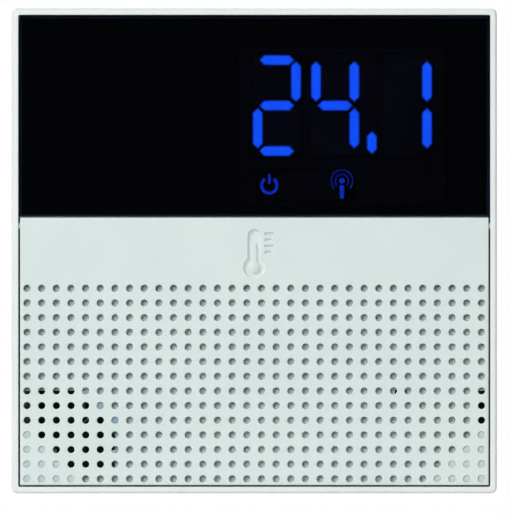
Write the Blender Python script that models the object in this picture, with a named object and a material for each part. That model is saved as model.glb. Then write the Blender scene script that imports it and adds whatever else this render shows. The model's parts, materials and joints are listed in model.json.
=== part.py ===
"""Wall thermostat: an 86 mm square mains unit with a blue number display over a perforated cover.

Metres, +Z up. The origin is the middle of the back face, which rests on the wall at y = 0, and the
front faces -Y. A depth below is a distance from the wall, so a point at depth d has y = -d.
"""

import math

import bmesh
import bpy
from mathutils import Matrix, Vector

# Clearances
GAP = 0.0003                    # between pieces that touch

# Outer size
BODY_WIDTH = 0.086
BODY_HEIGHT = 0.086
BODY_DEPTH = 0.027

# Front frame
FRAME_WALL = 0.00115
FRAME_CORNER_RADIUS = 0.001
FRAME_EDGE = 0.0003             # chamfer round the front
FRAME_OFF_WALL = 0.0015         # shadow gap behind its rear edge
BOSS_SIZE = 0.0066              # the blocks in its corners
BOSS_LENGTH = 0.006
SNAP_HEIGHT = 0.0006            # ridge that a snap hook holds
SNAP_LENGTH = 0.010
SNAP_THICKNESS = 0.001
SNAP_DEPTH = 0.0045             # middle of the ridges, from the wall

# Display window
WINDOW_HEIGHT = 0.03595         # from the frame's inside top edge to the cover
LENS_RECESS = 0.0004
LENS_THICKNESS = 0.0015
MASK_THICKNESS = 0.0004

# Display module: three seven-segment figures over a strip of two lamps
FIGURE_CENTRES = (0.00400, 0.01435, 0.02725)
FIGURE_MIDDLE_ABOVE_COVER = 0.0199
COLUMN_SPACING = 0.0068         # between the two upright rows of segments
ROW_SPACING = 0.00807           # between level segments
SEGMENT_WIDTH = 0.0018
LEVEL_SEGMENT_LENGTH = 0.0062
UPRIGHT_SEGMENT_LENGTH = 0.0072
SEGMENT_RISE = 0.0003
POINT_AFTER_FIGURE = 1          # the decimal point follows this figure
POINT_OFFSET = 0.00652
POINT_HEIGHT = 0.0041
FIGURE_BORDER = 0.00035
DIFFUSER_OFF_BOARD = 0.0015
STRIP_MIDDLE_ABOVE_COVER = 0.0058
STRIP_HEIGHT = 0.0056
LAMP_CENTRES = (0.00266, 0.01555)
LAMP_RADIUS = 0.0021
MODULE_SIDE_WALL = 0.0022
MODULE_END_WALL = 0.001

# Cover
COVER_RECESS = 0.0002
COVER_THICKNESS = 0.0007
COVER_CHAMFER = 0.0004          # along its top edge, so that it turns clear of the lens
HINGE_BELOW_TOP = 0.0015
HINGE_BEHIND_FACE = 0.0009
TRUNNION_RADIUS = 0.0006
TRUNNION_LENGTH = 0.0006
HOLE_PITCH = 0.0026
HOLE_DIAMETER = 0.0012
HOLE_EDGE_MARGIN = 0.0011       # from a row's middle line to the cover's edge
HOLE_FREE_BAND = 0.0125         # the plain top of the cover
MARK_DEPTH = 0.0003
MARK_BELOW_TOP = 0.006
MARK_BULB_RADIUS = 0.0019
MARK_TUBE_WIDTH = 0.0024
MARK_TUBE_RISE = 0.0056         # bulb middle to the middle of the round end

# Chassis, behind the cover and round the display module
CHASSIS_BEHIND_COVER = 0.0022
CHASSIS_THICKNESS = 0.0014
GUSSET_LEG = 0.01145
RIB_THICKNESS = 0.001
RIB_OVER_COVER = 0.0006
AIR_WINDOW_TOP = 0.01670        # its edges above the cover's bottom edge
AIR_WINDOW_BOTTOM = 0.00235
AIR_WINDOW_SIDE_RAIL = 0.0006
AIR_WINDOW_WIDTH = 0.01625
AIR_WINDOW_TOP_WIDTH = 0.0101
WINDOW_RIB_WIDTH = 0.0012       # along the air window's slanting edge
WINDOW_RIB_HEIGHT = 0.0012
SIDE_SLOT_WIDTH = 0.0014
SIDE_SLOT_HEIGHT = 0.006
TIE_SLOT_X = 0.026
TIE_SLOT_WIDTH = 0.0021
TIE_SLOT_HEIGHT = 0.0008
TIE_SLOT_DROP = 0.00025         # its middle below the air window's top edge
POST_RADIUS = 0.0024
CORNER_SCREW_REACH = 0.0013     # into the chassis
DISPLAY_SCREW_REACH = 0.0036
DISPLAY_SCREW_INSET = 0.0055    # in from the chassis's side edges
DISPLAY_SCREW_Z = -0.008

# Boards
DISPLAY_BOARD_THICKNESS = 0.0012
DISPLAY_BOARD_INSET = 0.0004    # in from the chassis's outline
MAINS_BOARD_THICKNESS = 0.0016
MAINS_BOARD_WIDTH = 0.050
MAINS_BOARD_HEIGHT = 0.074

# Screws
SCREW_RADIUS = 0.0009
SCREW_HEAD_RADIUS = 0.0019
SCREW_HEAD_HEIGHT = 0.0013
SLOT_WIDTH = 0.0006
SLOT_DEPTH = 0.0005

# Wall base
BASE_SETBACK = 0.0021           # its outside, in from the frame's outside
BASE_FLOOR = 0.002
BASE_RIM = 0.0015
BASE_RIM_DEPTH = 0.009          # from the wall to the rim's front edge
BASE_CORNER_RADIUS = 0.0015
BOARD_POST_HEIGHT = 0.0012
BOARD_POST_RADIUS = 0.0026
FIXING_CENTRES = 0.0603
FIXING_SLOT_WIDTH = 0.0045
FIXING_SLOT_LENGTH = 0.008
CABLE_WINDOW_WIDTH = 0.030
CABLE_WINDOW_HEIGHT = 0.017
CABLE_WINDOW_MIDDLE = -0.0175
TAB_WIDTH = 0.010
TAB_THICKNESS = 0.0012
TAB_LENGTH = 0.0075
RELEASE_SLOT_WIDTH = 0.006
RELEASE_SLOT_HEIGHT = 0.0016

# Parts on the mains board: left, right, bottom and top edges, then the height off the board
SUPPLY_MODULE = (-0.0240, 0.0040, 0.0140, 0.0310, 0.0100)
RELAY = (0.0135, 0.0235, 0.0090, 0.0290, 0.0099)
FILM_CAPACITOR = (-0.0240, -0.0110, 0.0060, 0.0120, 0.0096)
FUSE = (0.0035, 0.0115, 0.0080, 0.0120, 0.0080)
HEADER = (-0.0064, 0.0064, 0.0000, 0.0050, 0.0050)
VARISTOR_CENTRE = (-0.0045, 0.0085)
VARISTOR_RADIUS = 0.0035
VARISTOR_THICKNESS = 0.0038
ELECTROLYTIC_CENTRE = (0.0088, 0.0215)
ELECTROLYTIC_RADIUS = 0.0035
ELECTROLYTIC_HEIGHT = 0.0098
TERMINALS = 4
TERMINAL_PITCH = 0.00635
TERMINAL_BLOCK_HEIGHT = 0.0095
TERMINAL_BLOCK_DEPTH = 0.0100
TERMINAL_BLOCK_EDGE = 0.0005    # between the block and the board's bottom edge
TERMINAL_ENTRY_SIZE = 0.0036
TERMINAL_ENTRY_LENGTH = 0.0045
CLAMP_SCREW_RADIUS = 0.0016
CLAMP_SCREW_HEIGHT = 0.0012
CLAMP_SCREW_SUNK = 0.0016       # under the block's front
MAINS_SCREW_INSET = 0.0035

# Parts on the display board
RADIO_MODULE = (0.0275, 0.0385, 0.0120, 0.0280, 0.0024)
RADIO_CAN_BORDER = 0.0012
RADIO_BOARD_THICKNESS = 0.0008
MICROCONTROLLER = (-0.0380, -0.0280, -0.0010, 0.0090, 0.0014)
BUZZER_CENTRE = (-0.0333, 0.0210)
BUZZER_RADIUS = 0.0048
BUZZER_HEIGHT = 0.0042
BUZZER_PORT_RADIUS = 0.001
ANTENNA_BOTTOM = (0.0305, -0.0140)
ANTENNA_RADIUS = 0.0021
ANTENNA_TURNS = 8
ANTENNA_PITCH = 0.0017
ANTENNA_WIRE = 0.0004
ANTENNA_OFF_BOARD = 0.0032
TOUCH_SPRING_RADIUS = 0.0022
TOUCH_SPRING_TURNS = 4
TOUCH_SPRING_WIRE = 0.0003
TOUCH_HOLE_RADIUS = 0.0031
SENSOR_IN_WINDOW = 0.01125      # from the air window's side
SENSOR_LEAD_LENGTH = 0.0062
SENSOR_LEAD_SPACING = 0.0012
SENSOR_LEAD_RADIUS = 0.00025
SENSOR_BEAD_RADIUS = 0.0012
BOARD_NOTCH_MARGIN = 0.0016     # the board's notch reaches this far past the air window

# Pairing button and its switch
BUTTON_FROM_SIDE = 0.02465
BUTTON_ABOVE_BOTTOM = 0.0037
BUTTON_RADIUS = 0.0015
BUTTON_FLANGE_RADIUS = 0.0023
BUTTON_FLANGE_HEIGHT = 0.0005
BUTTON_PROUD = 0.0009           # stands this far in front of the chassis
BUTTON_TRAVEL = 0.0005
SWITCH_SIZE = 0.0045
SWITCH_HEIGHT = 0.0012

# Heights and depths that follow from the sizes above
INNER_X = BODY_WIDTH / 2 - FRAME_WALL
INNER_Z = BODY_HEIGHT / 2 - FRAME_WALL
FILL_X = INNER_X - GAP
FILL_Z = INNER_Z - GAP
COVER_TOP = INNER_Z - WINDOW_HEIGHT
COVER_BOTTOM = -FILL_Z
COVER_FACE = BODY_DEPTH - COVER_RECESS
COVER_BACK = COVER_FACE - COVER_THICKNESS
HINGE_Z = COVER_TOP - HINGE_BELOW_TOP
HINGE_DEPTH = COVER_FACE - HINGE_BEHIND_FACE
LENS_FACE = BODY_DEPTH - LENS_RECESS
LENS_BACK = LENS_FACE - LENS_THICKNESS
LENS_BOTTOM = COVER_TOP + GAP
MASK_FACE = LENS_BACK - GAP
MASK_BACK = MASK_FACE - MASK_THICKNESS
CHASSIS_FACE = COVER_BACK - CHASSIS_BEHIND_COVER
CHASSIS_BACK = CHASSIS_FACE - CHASSIS_THICKNESS
BUTTON_BACK = CHASSIS_BACK - GAP - BUTTON_FLANGE_HEIGHT
SWITCH_FACE = BUTTON_BACK - BUTTON_TRAVEL - GAP
BOARD_FACE = SWITCH_FACE - SWITCH_HEIGHT - GAP
BOARD_BACK = BOARD_FACE - DISPLAY_BOARD_THICKNESS
BOSS_FRONT = CHASSIS_BACK - GAP
BOSS_BACK = BOSS_FRONT - BOSS_LENGTH
MAINS_BACK = BASE_FLOOR + BOARD_POST_HEIGHT + GAP
MAINS_FACE = MAINS_BACK + MAINS_BOARD_THICKNESS
ON_MAINS = MAINS_FACE + GAP
UNDER_DISPLAY_BOARD = BOARD_BACK - GAP
BASE_X = BODY_WIDTH / 2 - BASE_SETBACK
BASE_Z = BODY_HEIGHT / 2 - BASE_SETBACK
FIGURE_Z = COVER_TOP + FIGURE_MIDDLE_ABOVE_COVER
STRIP_Z = COVER_TOP + STRIP_MIDDLE_ABOVE_COVER
MARK_Z = COVER_TOP - MARK_BELOW_TOP
AIR_WINDOW_LEFT = -FILL_X + AIR_WINDOW_SIDE_RAIL
AIR_WINDOW_RIGHT = AIR_WINDOW_LEFT + AIR_WINDOW_WIDTH
SENSOR_X = AIR_WINDOW_LEFT + SENSOR_IN_WINDOW
BUTTON_X = -FILL_X + BUTTON_FROM_SIDE
BUTTON_Z = COVER_BOTTOM + BUTTON_ABOVE_BOTTOM
CLAMP_SCREW_BACK = ON_MAINS + TERMINAL_BLOCK_DEPTH - CLAMP_SCREW_SUNK - CLAMP_SCREW_HEIGHT
DISPLAY_SCREW_X = FILL_X - DISPLAY_SCREW_INSET

SNAP_SPACING = BODY_WIDTH / 4
HOOK_DEPTH = SNAP_DEPTH + SNAP_THICKNESS + GAP  # middle of the hooks, in front of the ridges
CORNER_SCREW_X = INNER_X - BOSS_SIZE / 2
CORNER_SCREW_Z = INNER_Z - BOSS_SIZE / 2

ROUND = 16                      # sides of a round piece
SMALL_ROUND = 10


# --- Finishes ---------------------------------------------------------------------------------

def linear(channel):
    """One sRGB channel, 0 to 255, as the linear value that a shader takes."""
    value = channel / 255
    return value / 12.92 if value <= 0.04045 else ((value + 0.055) / 1.055) ** 2.4


def finish(name, red, green, blue, roughness, metallic=0.0):
    """A Principled material with one colour."""
    material = bpy.data.materials.new(name)
    material.use_nodes = True
    shader = material.node_tree.nodes["Principled BSDF"]
    shader.inputs["Base Color"].default_value = (linear(red), linear(green), linear(blue), 1)
    shader.inputs["Roughness"].default_value = roughness
    shader.inputs["Metallic"].default_value = metallic
    material.diffuse_color = (linear(red), linear(green), linear(blue), 1)
    return material


# --- Meshes -----------------------------------------------------------------------------------

def around(middle, length):
    """The two ends of a stretch about its middle."""
    return middle - length / 2, middle + length / 2


def add_box(mesh, left, right, bottom, top, back, front):
    """A box between two x, two z and two depths from the wall."""
    middle = Vector(((left + right) / 2, -(back + front) / 2, (bottom + top) / 2))
    size = Matrix.Diagonal((right - left, front - back, top - bottom, 1))
    return bmesh.ops.create_cube(mesh, size=1, matrix=Matrix.Translation(middle) @ size)["verts"]


def add_prism(mesh, outline, back, front):
    """An outline of (x, z) points, filled and extruded between two depths."""
    face = mesh.faces.new([mesh.verts.new((x, -back, z)) for x, z in outline])
    grown = bmesh.ops.extrude_face_region(mesh, geom=[face])["geom"]
    moved = [item for item in grown if isinstance(item, bmesh.types.BMVert)]
    bmesh.ops.translate(mesh, verts=moved, vec=(0, back - front, 0))
    return moved


def add_rod(mesh, start, end, radius, sides=ROUND, end_radius=None):
    """A round bar, or a cone with end_radius, between two points in space."""
    start, end = Vector(start), Vector(end)
    turn = Vector((0, 0, 1)).rotation_difference(end - start).to_matrix().to_4x4()
    place = Matrix.Translation((start + end) / 2) @ turn
    bmesh.ops.create_cone(
        mesh, cap_ends=True, segments=sides, radius1=radius,
        radius2=radius if end_radius is None else end_radius,
        depth=(end - start).length, matrix=place,
    )


def add_post(mesh, x, z, back, front, radius, sides=ROUND):
    """A round bar that points at the room, between two depths."""
    add_rod(mesh, (x, -back, z), (x, -front, z), radius, sides)


def rounded_rectangle(half_width, half_height, radius, steps=4, middle_x=0.0, middle_z=0.0):
    """(x, z) points round a rectangle whose corners are arcs."""
    points = []
    for corner, (side_x, side_z) in enumerate(((1, 1), (-1, 1), (-1, -1), (1, -1))):
        centre_x = middle_x + side_x * (half_width - radius)
        centre_z = middle_z + side_z * (half_height - radius)
        for step in range(steps + 1):
            angle = math.pi / 2 * (corner + step / steps)
            points.append((centre_x + radius * math.cos(angle), centre_z + radius * math.sin(angle)))
    return points


def segment_outline(middle_x, middle_z, length, upright):
    """(x, z) points of one display segment: a bar with pointed ends."""
    half, point = SEGMENT_WIDTH / 2, SEGMENT_WIDTH / 2
    reach = length / 2
    along_and_across = (
        (-reach, 0), (-reach + point, -half), (reach - point, -half),
        (reach, 0), (reach - point, half), (-reach + point, half),
    )
    if upright:
        return [(middle_x - across, middle_z + along) for along, across in along_and_across]
    return [(middle_x + along, middle_z + across) for along, across in along_and_across]


def add_coil(mesh, centre, axis, radius, wire, turns, pitch, sides=5, steps=10):
    """A helical wire round an axis: one ring of points swept along the helix, with closed ends."""
    turn = Vector((0, 0, 1)).rotation_difference(Vector(axis)).to_matrix()
    rings = []
    for step in range(turns * steps + 1):
        angle = 2 * math.pi * step / steps
        outward = Vector((math.cos(angle), math.sin(angle), 0))
        along = Vector((0, 0, pitch * step / steps))
        ring = []
        for side in range(sides):
            round_wire = 2 * math.pi * side / sides
            offset = outward * math.cos(round_wire) + Vector((0, 0, 1)) * math.sin(round_wire)
            ring.append(mesh.verts.new(
                Vector(centre) + turn @ (outward * radius + along + offset * wire)
            ))
        rings.append(ring)
    for first, second in zip(rings, rings[1:]):
        for side in range(sides):
            after = (side + 1) % sides
            mesh.faces.new((first[side], first[after], second[after], second[side]))
    mesh.faces.new(rings[0])
    mesh.faces.new(rings[-1])


# --- Objects ----------------------------------------------------------------------------------

def piece(name, mesh, material, parent=None, origin=(0, 0, 0)):
    """An object from a finished bmesh, with its origin at a point in space."""
    bmesh.ops.recalc_face_normals(mesh, faces=mesh.faces[:])
    bmesh.ops.translate(mesh, verts=mesh.verts[:], vec=-Vector(origin))
    data = bpy.data.meshes.new(name)
    mesh.to_mesh(data)
    mesh.free()
    data.materials.append(material)
    data.shade_smooth()
    data.set_sharp_from_angle(angle=math.radians(35))
    made = bpy.data.objects.new(name, data)
    made.location = origin
    bpy.context.scene.collection.objects.link(made)
    if parent is not None:
        made.parent = parent
        made.matrix_parent_inverse = parent.matrix_basis.inverted()
    return made


def shape(target, mesh, operation, label):
    """A Boolean on target, with the bmesh as its hidden tool."""
    tool = piece(f"{target.name}_{label}", mesh, target.data.materials[0])
    tool.hide_render = True
    tool.display_type = "WIRE"
    modifier = target.modifiers.new(label, "BOOLEAN")
    modifier.operation = operation
    modifier.solver = "EXACT"
    modifier.object = tool
    return tool


def cut(target, mesh, label):
    """Takes the bmesh away from target."""
    return shape(target, mesh, "DIFFERENCE", label)


def join(target, mesh, label):
    """Adds the bmesh to target, so that both are one body."""
    return shape(target, mesh, "UNION", label)


def block(name, edges, back, front, material, chamfer=0.0):
    """A moulded box from its left, right, bottom and top edges, with chamfered edges."""
    mesh = bmesh.new()
    add_box(mesh, *edges, back, front)
    if chamfer:
        bmesh.ops.bevel(
            mesh, geom=mesh.edges[:], offset=chamfer, offset_type="OFFSET", segments=1,
            profile=0.5, affect="EDGES", material=-1,
        )
    return piece(name, mesh, material)


def corners(inset_x, inset_z):
    """The four points at these distances from the middle, by their signs."""
    return [(sx * inset_x, sz * inset_z) for sx in (-1, 1) for sz in (1, -1)]


def screw(name, x, z, seat, shank_end, material):
    """A slotted screw whose head sits on the surface at depth seat, with its shank to shank_end."""
    way = math.copysign(1, shank_end - seat)
    under_head = seat - way * GAP
    top = under_head - way * SCREW_HEAD_HEIGHT
    mesh = bmesh.new()
    add_post(mesh, x, z, top, under_head, SCREW_HEAD_RADIUS, SMALL_ROUND)
    made = piece(name, mesh, material)
    mesh = bmesh.new()
    add_post(mesh, x, z, (top + under_head) / 2, shank_end, SCREW_RADIUS, SMALL_ROUND)
    join(made, mesh, "shank")
    mesh = bmesh.new()
    add_box(mesh, *around(x, 2 * SCREW_HEAD_RADIUS), *around(z, SLOT_WIDTH), *around(top, 2 * SLOT_DEPTH))
    cut(made, mesh, "slot")
    return made


# --- Front frame ------------------------------------------------------------------------------

def front_frame(material):
    """The square sleeve that holds everything in front of the wall base."""
    mesh = bmesh.new()
    outline = rounded_rectangle(BODY_WIDTH / 2, BODY_HEIGHT / 2, FRAME_CORNER_RADIUS)
    front = add_prism(mesh, outline, FRAME_OFF_WALL, BODY_DEPTH)
    rim = {edge for vert in front for edge in vert.link_edges
           if all(end in front for end in edge.verts)}
    bmesh.ops.bevel(
        mesh, geom=list(rim), offset=FRAME_EDGE, offset_type="OFFSET", segments=2,
        profile=0.5, affect="EDGES", material=-1,
    )
    frame = piece("front_frame", mesh, material)

    mesh = bmesh.new()
    inside = rounded_rectangle(INNER_X, INNER_Z, FRAME_EDGE, steps=1)
    add_prism(mesh, inside, FRAME_OFF_WALL - GAP, BODY_DEPTH + GAP)
    cut(frame, mesh, "inside")

    mesh = bmesh.new()
    overlap = FRAME_WALL / 2
    for x, z in corners(INNER_X, INNER_Z):
        edges_x = sorted((x + math.copysign(overlap, x), x - math.copysign(BOSS_SIZE, x)))
        edges_z = sorted((z + math.copysign(overlap, z), z - math.copysign(BOSS_SIZE, z)))
        add_box(mesh, *edges_x, *edges_z, BOSS_BACK, BOSS_FRONT)
    for x in (-SNAP_SPACING, SNAP_SPACING):
        add_box(mesh, x - SNAP_LENGTH / 2, x + SNAP_LENGTH / 2,
                INNER_Z - SNAP_HEIGHT, INNER_Z + overlap, *around(SNAP_DEPTH, SNAP_THICKNESS))
    add_box(mesh, -TAB_WIDTH / 2, TAB_WIDTH / 2,
            -INNER_Z - overlap, -INNER_Z + SNAP_HEIGHT, *around(SNAP_DEPTH, SNAP_THICKNESS))
    join(frame, mesh, "bosses")

    mesh = bmesh.new()
    for x, z in corners(CORNER_SCREW_X, CORNER_SCREW_Z):
        add_post(mesh, x, z, BOSS_BACK - GAP, BOSS_FRONT + GAP, SCREW_RADIUS + GAP, SMALL_ROUND)
    for side in (-1, 1):
        add_rod(mesh, (side * (INNER_X - GAP), -HINGE_DEPTH, HINGE_Z),
                (side * (FILL_X + TRUNNION_LENGTH + GAP), -HINGE_DEPTH, HINGE_Z),
                TRUNNION_RADIUS + GAP, SMALL_ROUND)
    add_box(mesh, -RELEASE_SLOT_WIDTH / 2, RELEASE_SLOT_WIDTH / 2,
            -BODY_HEIGHT / 2 - GAP, -INNER_Z + GAP, *around(HOOK_DEPTH, RELEASE_SLOT_HEIGHT))
    cut(frame, mesh, "holes")
    return frame


# --- Display ----------------------------------------------------------------------------------

def figure_edges(index):
    """Left, right, bottom and top edges of a figure's window in the module."""
    half_width = COLUMN_SPACING / 2 + SEGMENT_WIDTH / 2 + FIGURE_BORDER
    half_height = ROW_SPACING + SEGMENT_WIDTH / 2 + FIGURE_BORDER
    centre = FIGURE_CENTRES[index]
    right = centre + half_width
    if index == POINT_AFTER_FIGURE:
        right = centre + POINT_OFFSET + SEGMENT_WIDTH / 2 + FIGURE_BORDER
    return centre - half_width, right, FIGURE_Z - half_height, FIGURE_Z + half_height


def strip_edges():
    """Left, right, bottom and top edges of the lamp strip's window in the module."""
    reach = LAMP_RADIUS + FIGURE_BORDER
    return LAMP_CENTRES[0] - reach, LAMP_CENTRES[-1] + reach, *around(STRIP_Z, STRIP_HEIGHT)


def module_edges():
    """Left, right, bottom and top edges of the display module."""
    windows = [figure_edges(index) for index in range(len(FIGURE_CENTRES))] + [strip_edges()]
    return (min(edges[0] for edges in windows) - MODULE_SIDE_WALL,
            max(edges[1] for edges in windows) + MODULE_SIDE_WALL,
            min(edges[2] for edges in windows) - MODULE_END_WALL,
            max(edges[3] for edges in windows) + MODULE_END_WALL)


def grown(edges, margin):
    """Edges moved outwards, or inwards by a negative margin."""
    return edges[0] - margin, edges[1] + margin, edges[2] - margin, edges[3] + margin


def display_lens(material):
    """The dark window that fills the frame above the cover."""
    return block("display_lens", (-FILL_X, FILL_X, LENS_BOTTOM, FILL_Z), LENS_BACK, LENS_FACE, material)


def display_mask(material):
    """The black sheet behind the lens, with a window for the module's face."""
    mask = block("display_mask", grown((-FILL_X, FILL_X, LENS_BOTTOM, FILL_Z), -GAP),
                 MASK_BACK, MASK_FACE, material)
    mesh = bmesh.new()
    add_box(mesh, *grown(module_edges(), GAP), MASK_BACK - GAP, MASK_FACE + GAP)
    cut(mask, mesh, "window")
    return mask


def display_housing(material):
    """The black light box of the module, open at the back and behind each window."""
    housing = block("display_housing", module_edges(), BOARD_FACE + GAP, MASK_FACE, material)
    mesh = bmesh.new()
    for index in range(len(FIGURE_CENTRES)):
        add_box(mesh, *figure_edges(index), BOARD_FACE, MASK_FACE + GAP)
    add_box(mesh, *strip_edges(), BOARD_FACE, MASK_FACE + GAP)
    cut(housing, mesh, "windows")
    return housing


def figure_diffuser(name, index, material):
    """One figure's translucent block, with its segments raised on the front."""
    face = MASK_FACE - SEGMENT_RISE
    made = block(name, grown(figure_edges(index), -GAP), BOARD_FACE + DIFFUSER_OFF_BOARD, face, material)
    centre = FIGURE_CENTRES[index]
    mesh = bmesh.new()
    for row in (-1, 0, 1):
        outline = segment_outline(centre, FIGURE_Z + row * ROW_SPACING, LEVEL_SEGMENT_LENGTH, False)
        add_prism(mesh, outline, face - SEGMENT_RISE, MASK_FACE)
    for side in (-1, 1):
        for row in (-1, 1):
            outline = segment_outline(centre + side * COLUMN_SPACING / 2,
                                      FIGURE_Z + row * ROW_SPACING / 2, UPRIGHT_SEGMENT_LENGTH, True)
            add_prism(mesh, outline, face - SEGMENT_RISE, MASK_FACE)
    if index == POINT_AFTER_FIGURE:
        outline = segment_outline(centre + POINT_OFFSET,
                                  FIGURE_Z - ROW_SPACING - SEGMENT_WIDTH / 2 + POINT_HEIGHT / 2,
                                  POINT_HEIGHT, True)
        add_prism(mesh, outline, face - SEGMENT_RISE, MASK_FACE)
    join(made, mesh, "segments")
    return made


def lamp_strip(material):
    """The translucent bar under the figures, with a raised disc for each lamp."""
    face = MASK_FACE - SEGMENT_RISE
    made = block("lamp_strip", grown(strip_edges(), -GAP), BOARD_FACE + DIFFUSER_OFF_BOARD, face, material)
    mesh = bmesh.new()
    for x in LAMP_CENTRES:
        add_post(mesh, x, STRIP_Z, face - SEGMENT_RISE, MASK_FACE, LAMP_RADIUS)
    join(made, mesh, "lamps")
    return made


# --- Cover ------------------------------------------------------------------------------------

def hole_columns():
    """The x of each column of holes, evenly about the middle."""
    count = int((2 * FILL_X - 2 * HOLE_EDGE_MARGIN) / HOLE_PITCH) + 1
    return [(index - (count - 1) / 2) * HOLE_PITCH for index in range(count)]


def hole_rows():
    """The z of each row of holes, from the bottom up to the plain band."""
    count = int((COVER_TOP - COVER_BOTTOM - HOLE_FREE_BAND - HOLE_EDGE_MARGIN) / HOLE_PITCH) + 1
    return [COVER_BOTTOM + HOLE_EDGE_MARGIN + index * HOLE_PITCH for index in range(count)]


def perforated_sheet(mesh):
    """A sheet cut along every hole's edges, without the holes, then extruded to the cover's depth.

    Each hole is a square of the same area as the round one.
    """
    half = HOLE_DIAMETER * math.sqrt(math.pi) / 4
    sheet = [(-FILL_X, COVER_BOTTOM), (FILL_X, COVER_BOTTOM), (FILL_X, COVER_TOP), (-FILL_X, COVER_TOP)]
    mesh.faces.new([mesh.verts.new((x, -COVER_BACK, z)) for x, z in sheet])
    cuts = [((x + side * half, 0, 0), (1, 0, 0)) for x in hole_columns() for side in (-1, 1)]
    cuts += [((0, 0, z + side * half), (0, 0, 1)) for z in hole_rows() for side in (-1, 1)]
    for point, normal in cuts:
        everything = mesh.verts[:] + mesh.edges[:] + mesh.faces[:]
        bmesh.ops.bisect_plane(mesh, geom=everything, dist=1e-6, plane_co=point, plane_no=normal)
    holes = [face for face in mesh.faces if is_hole(face.calc_center_median())]
    bmesh.ops.delete(mesh, geom=holes, context="FACES")
    grown_sheet = bmesh.ops.extrude_face_region(mesh, geom=mesh.faces[:])["geom"]
    moved = [item for item in grown_sheet if isinstance(item, bmesh.types.BMVert)]
    bmesh.ops.translate(mesh, verts=moved, vec=(0, COVER_BACK - COVER_FACE, 0))


def is_hole(point):
    """Whether a point in the cover's plane is in the middle of a hole."""
    near = HOLE_DIAMETER / 4
    return (any(abs(point.x - x) < near for x in hole_columns())
            and any(abs(point.z - z) < near for z in hole_rows()))


def grille_cover(material, hinge):
    """The perforated cover, which turns up about its two end trunnions."""
    mesh = bmesh.new()
    perforated_sheet(mesh)
    cover = piece("grille_cover", mesh, material, hinge, hinge.location)

    mesh = bmesh.new()
    for side in (-1, 1):
        add_rod(mesh, (side * (FILL_X - TRUNNION_LENGTH), -HINGE_DEPTH, HINGE_Z),
                (side * (FILL_X + TRUNNION_LENGTH), -HINGE_DEPTH, HINGE_Z), TRUNNION_RADIUS, SMALL_ROUND)
    join(cover, mesh, "trunnions")

    mesh = bmesh.new()
    mark = thermometer_outline(MARK_Z - MARK_TUBE_RISE / 2)
    add_prism(mesh, mark, COVER_FACE - MARK_DEPTH, COVER_FACE + GAP)
    corner_y, corner_z = -COVER_FACE - GAP, COVER_TOP + GAP
    reach = COVER_CHAMFER + 2 * GAP
    wedge = ((corner_y, corner_z), (corner_y + reach, corner_z), (corner_y, corner_z - reach))
    face = mesh.faces.new([mesh.verts.new((-FILL_X - GAP, y, z)) for y, z in wedge])
    swept = bmesh.ops.extrude_face_region(mesh, geom=[face])["geom"]
    ends = [item for item in swept if isinstance(item, bmesh.types.BMVert)]
    bmesh.ops.translate(mesh, verts=ends, vec=(2 * (FILL_X + GAP), 0, 0))
    cut(cover, mesh, "mark_and_chamfer")
    return cover


def thermometer_outline(bulb_z, steps=4):
    """(x, z) points of the sunk mark: a round bulb under a tube with a round end."""
    half_tube = MARK_TUBE_WIDTH / 2
    meet = math.asin(half_tube / MARK_BULB_RADIUS)
    points = []
    for step in range(3 * steps + 1):
        angle = math.pi / 2 - meet - (2 * math.pi - 2 * meet) * step / (3 * steps)
        points.append((MARK_BULB_RADIUS * math.cos(angle), bulb_z + MARK_BULB_RADIUS * math.sin(angle)))
    for step in range(steps + 1):
        angle = math.pi * (1 - step / steps)
        points.append((half_tube * math.cos(angle),
                       bulb_z + MARK_TUBE_RISE + half_tube * math.sin(angle)))
    return points


# --- Chassis ----------------------------------------------------------------------------------

def air_window_outline():
    """(x, z) points of the window for the sensor's air: its corners follow the corner gusset."""
    left, right = AIR_WINDOW_LEFT, AIR_WINDOW_RIGHT
    top_right = left + AIR_WINDOW_TOP_WIDTH
    top = COVER_BOTTOM + AIR_WINDOW_TOP
    bottom = COVER_BOTTOM + AIR_WINDOW_BOTTOM
    gusset_line = -FILL_X + COVER_BOTTOM + GUSSET_LEG
    return [(left, top), (left, gusset_line - left), (gusset_line - bottom, bottom), (right, bottom),
            (right, top - (right - top_right)), (top_right, top)]


def window_rib_outline():
    """(x, z) points of the rib along the air window's slanting edge."""
    (right, low), (top_right, top) = air_window_outline()[-2:]
    across = math.sqrt(2) * WINDOW_RIB_WIDTH
    return [(top_right, top), (right, low), (right + across, low), (top_right + across, top)]


def gusset_outline(side_x, side_z):
    """(x, z) points of the triangular block in one corner."""
    x, z = side_x * FILL_X, side_z * FILL_Z
    return [(x, z), (x - side_x * GUSSET_LEG, z), (x, z - side_z * GUSSET_LEG)]


def display_screw_places():
    """The (x, z) of the two screws that hold the display board to the chassis."""
    return [(side * DISPLAY_SCREW_X, DISPLAY_SCREW_Z) for side in (-1, 1)]


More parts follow.
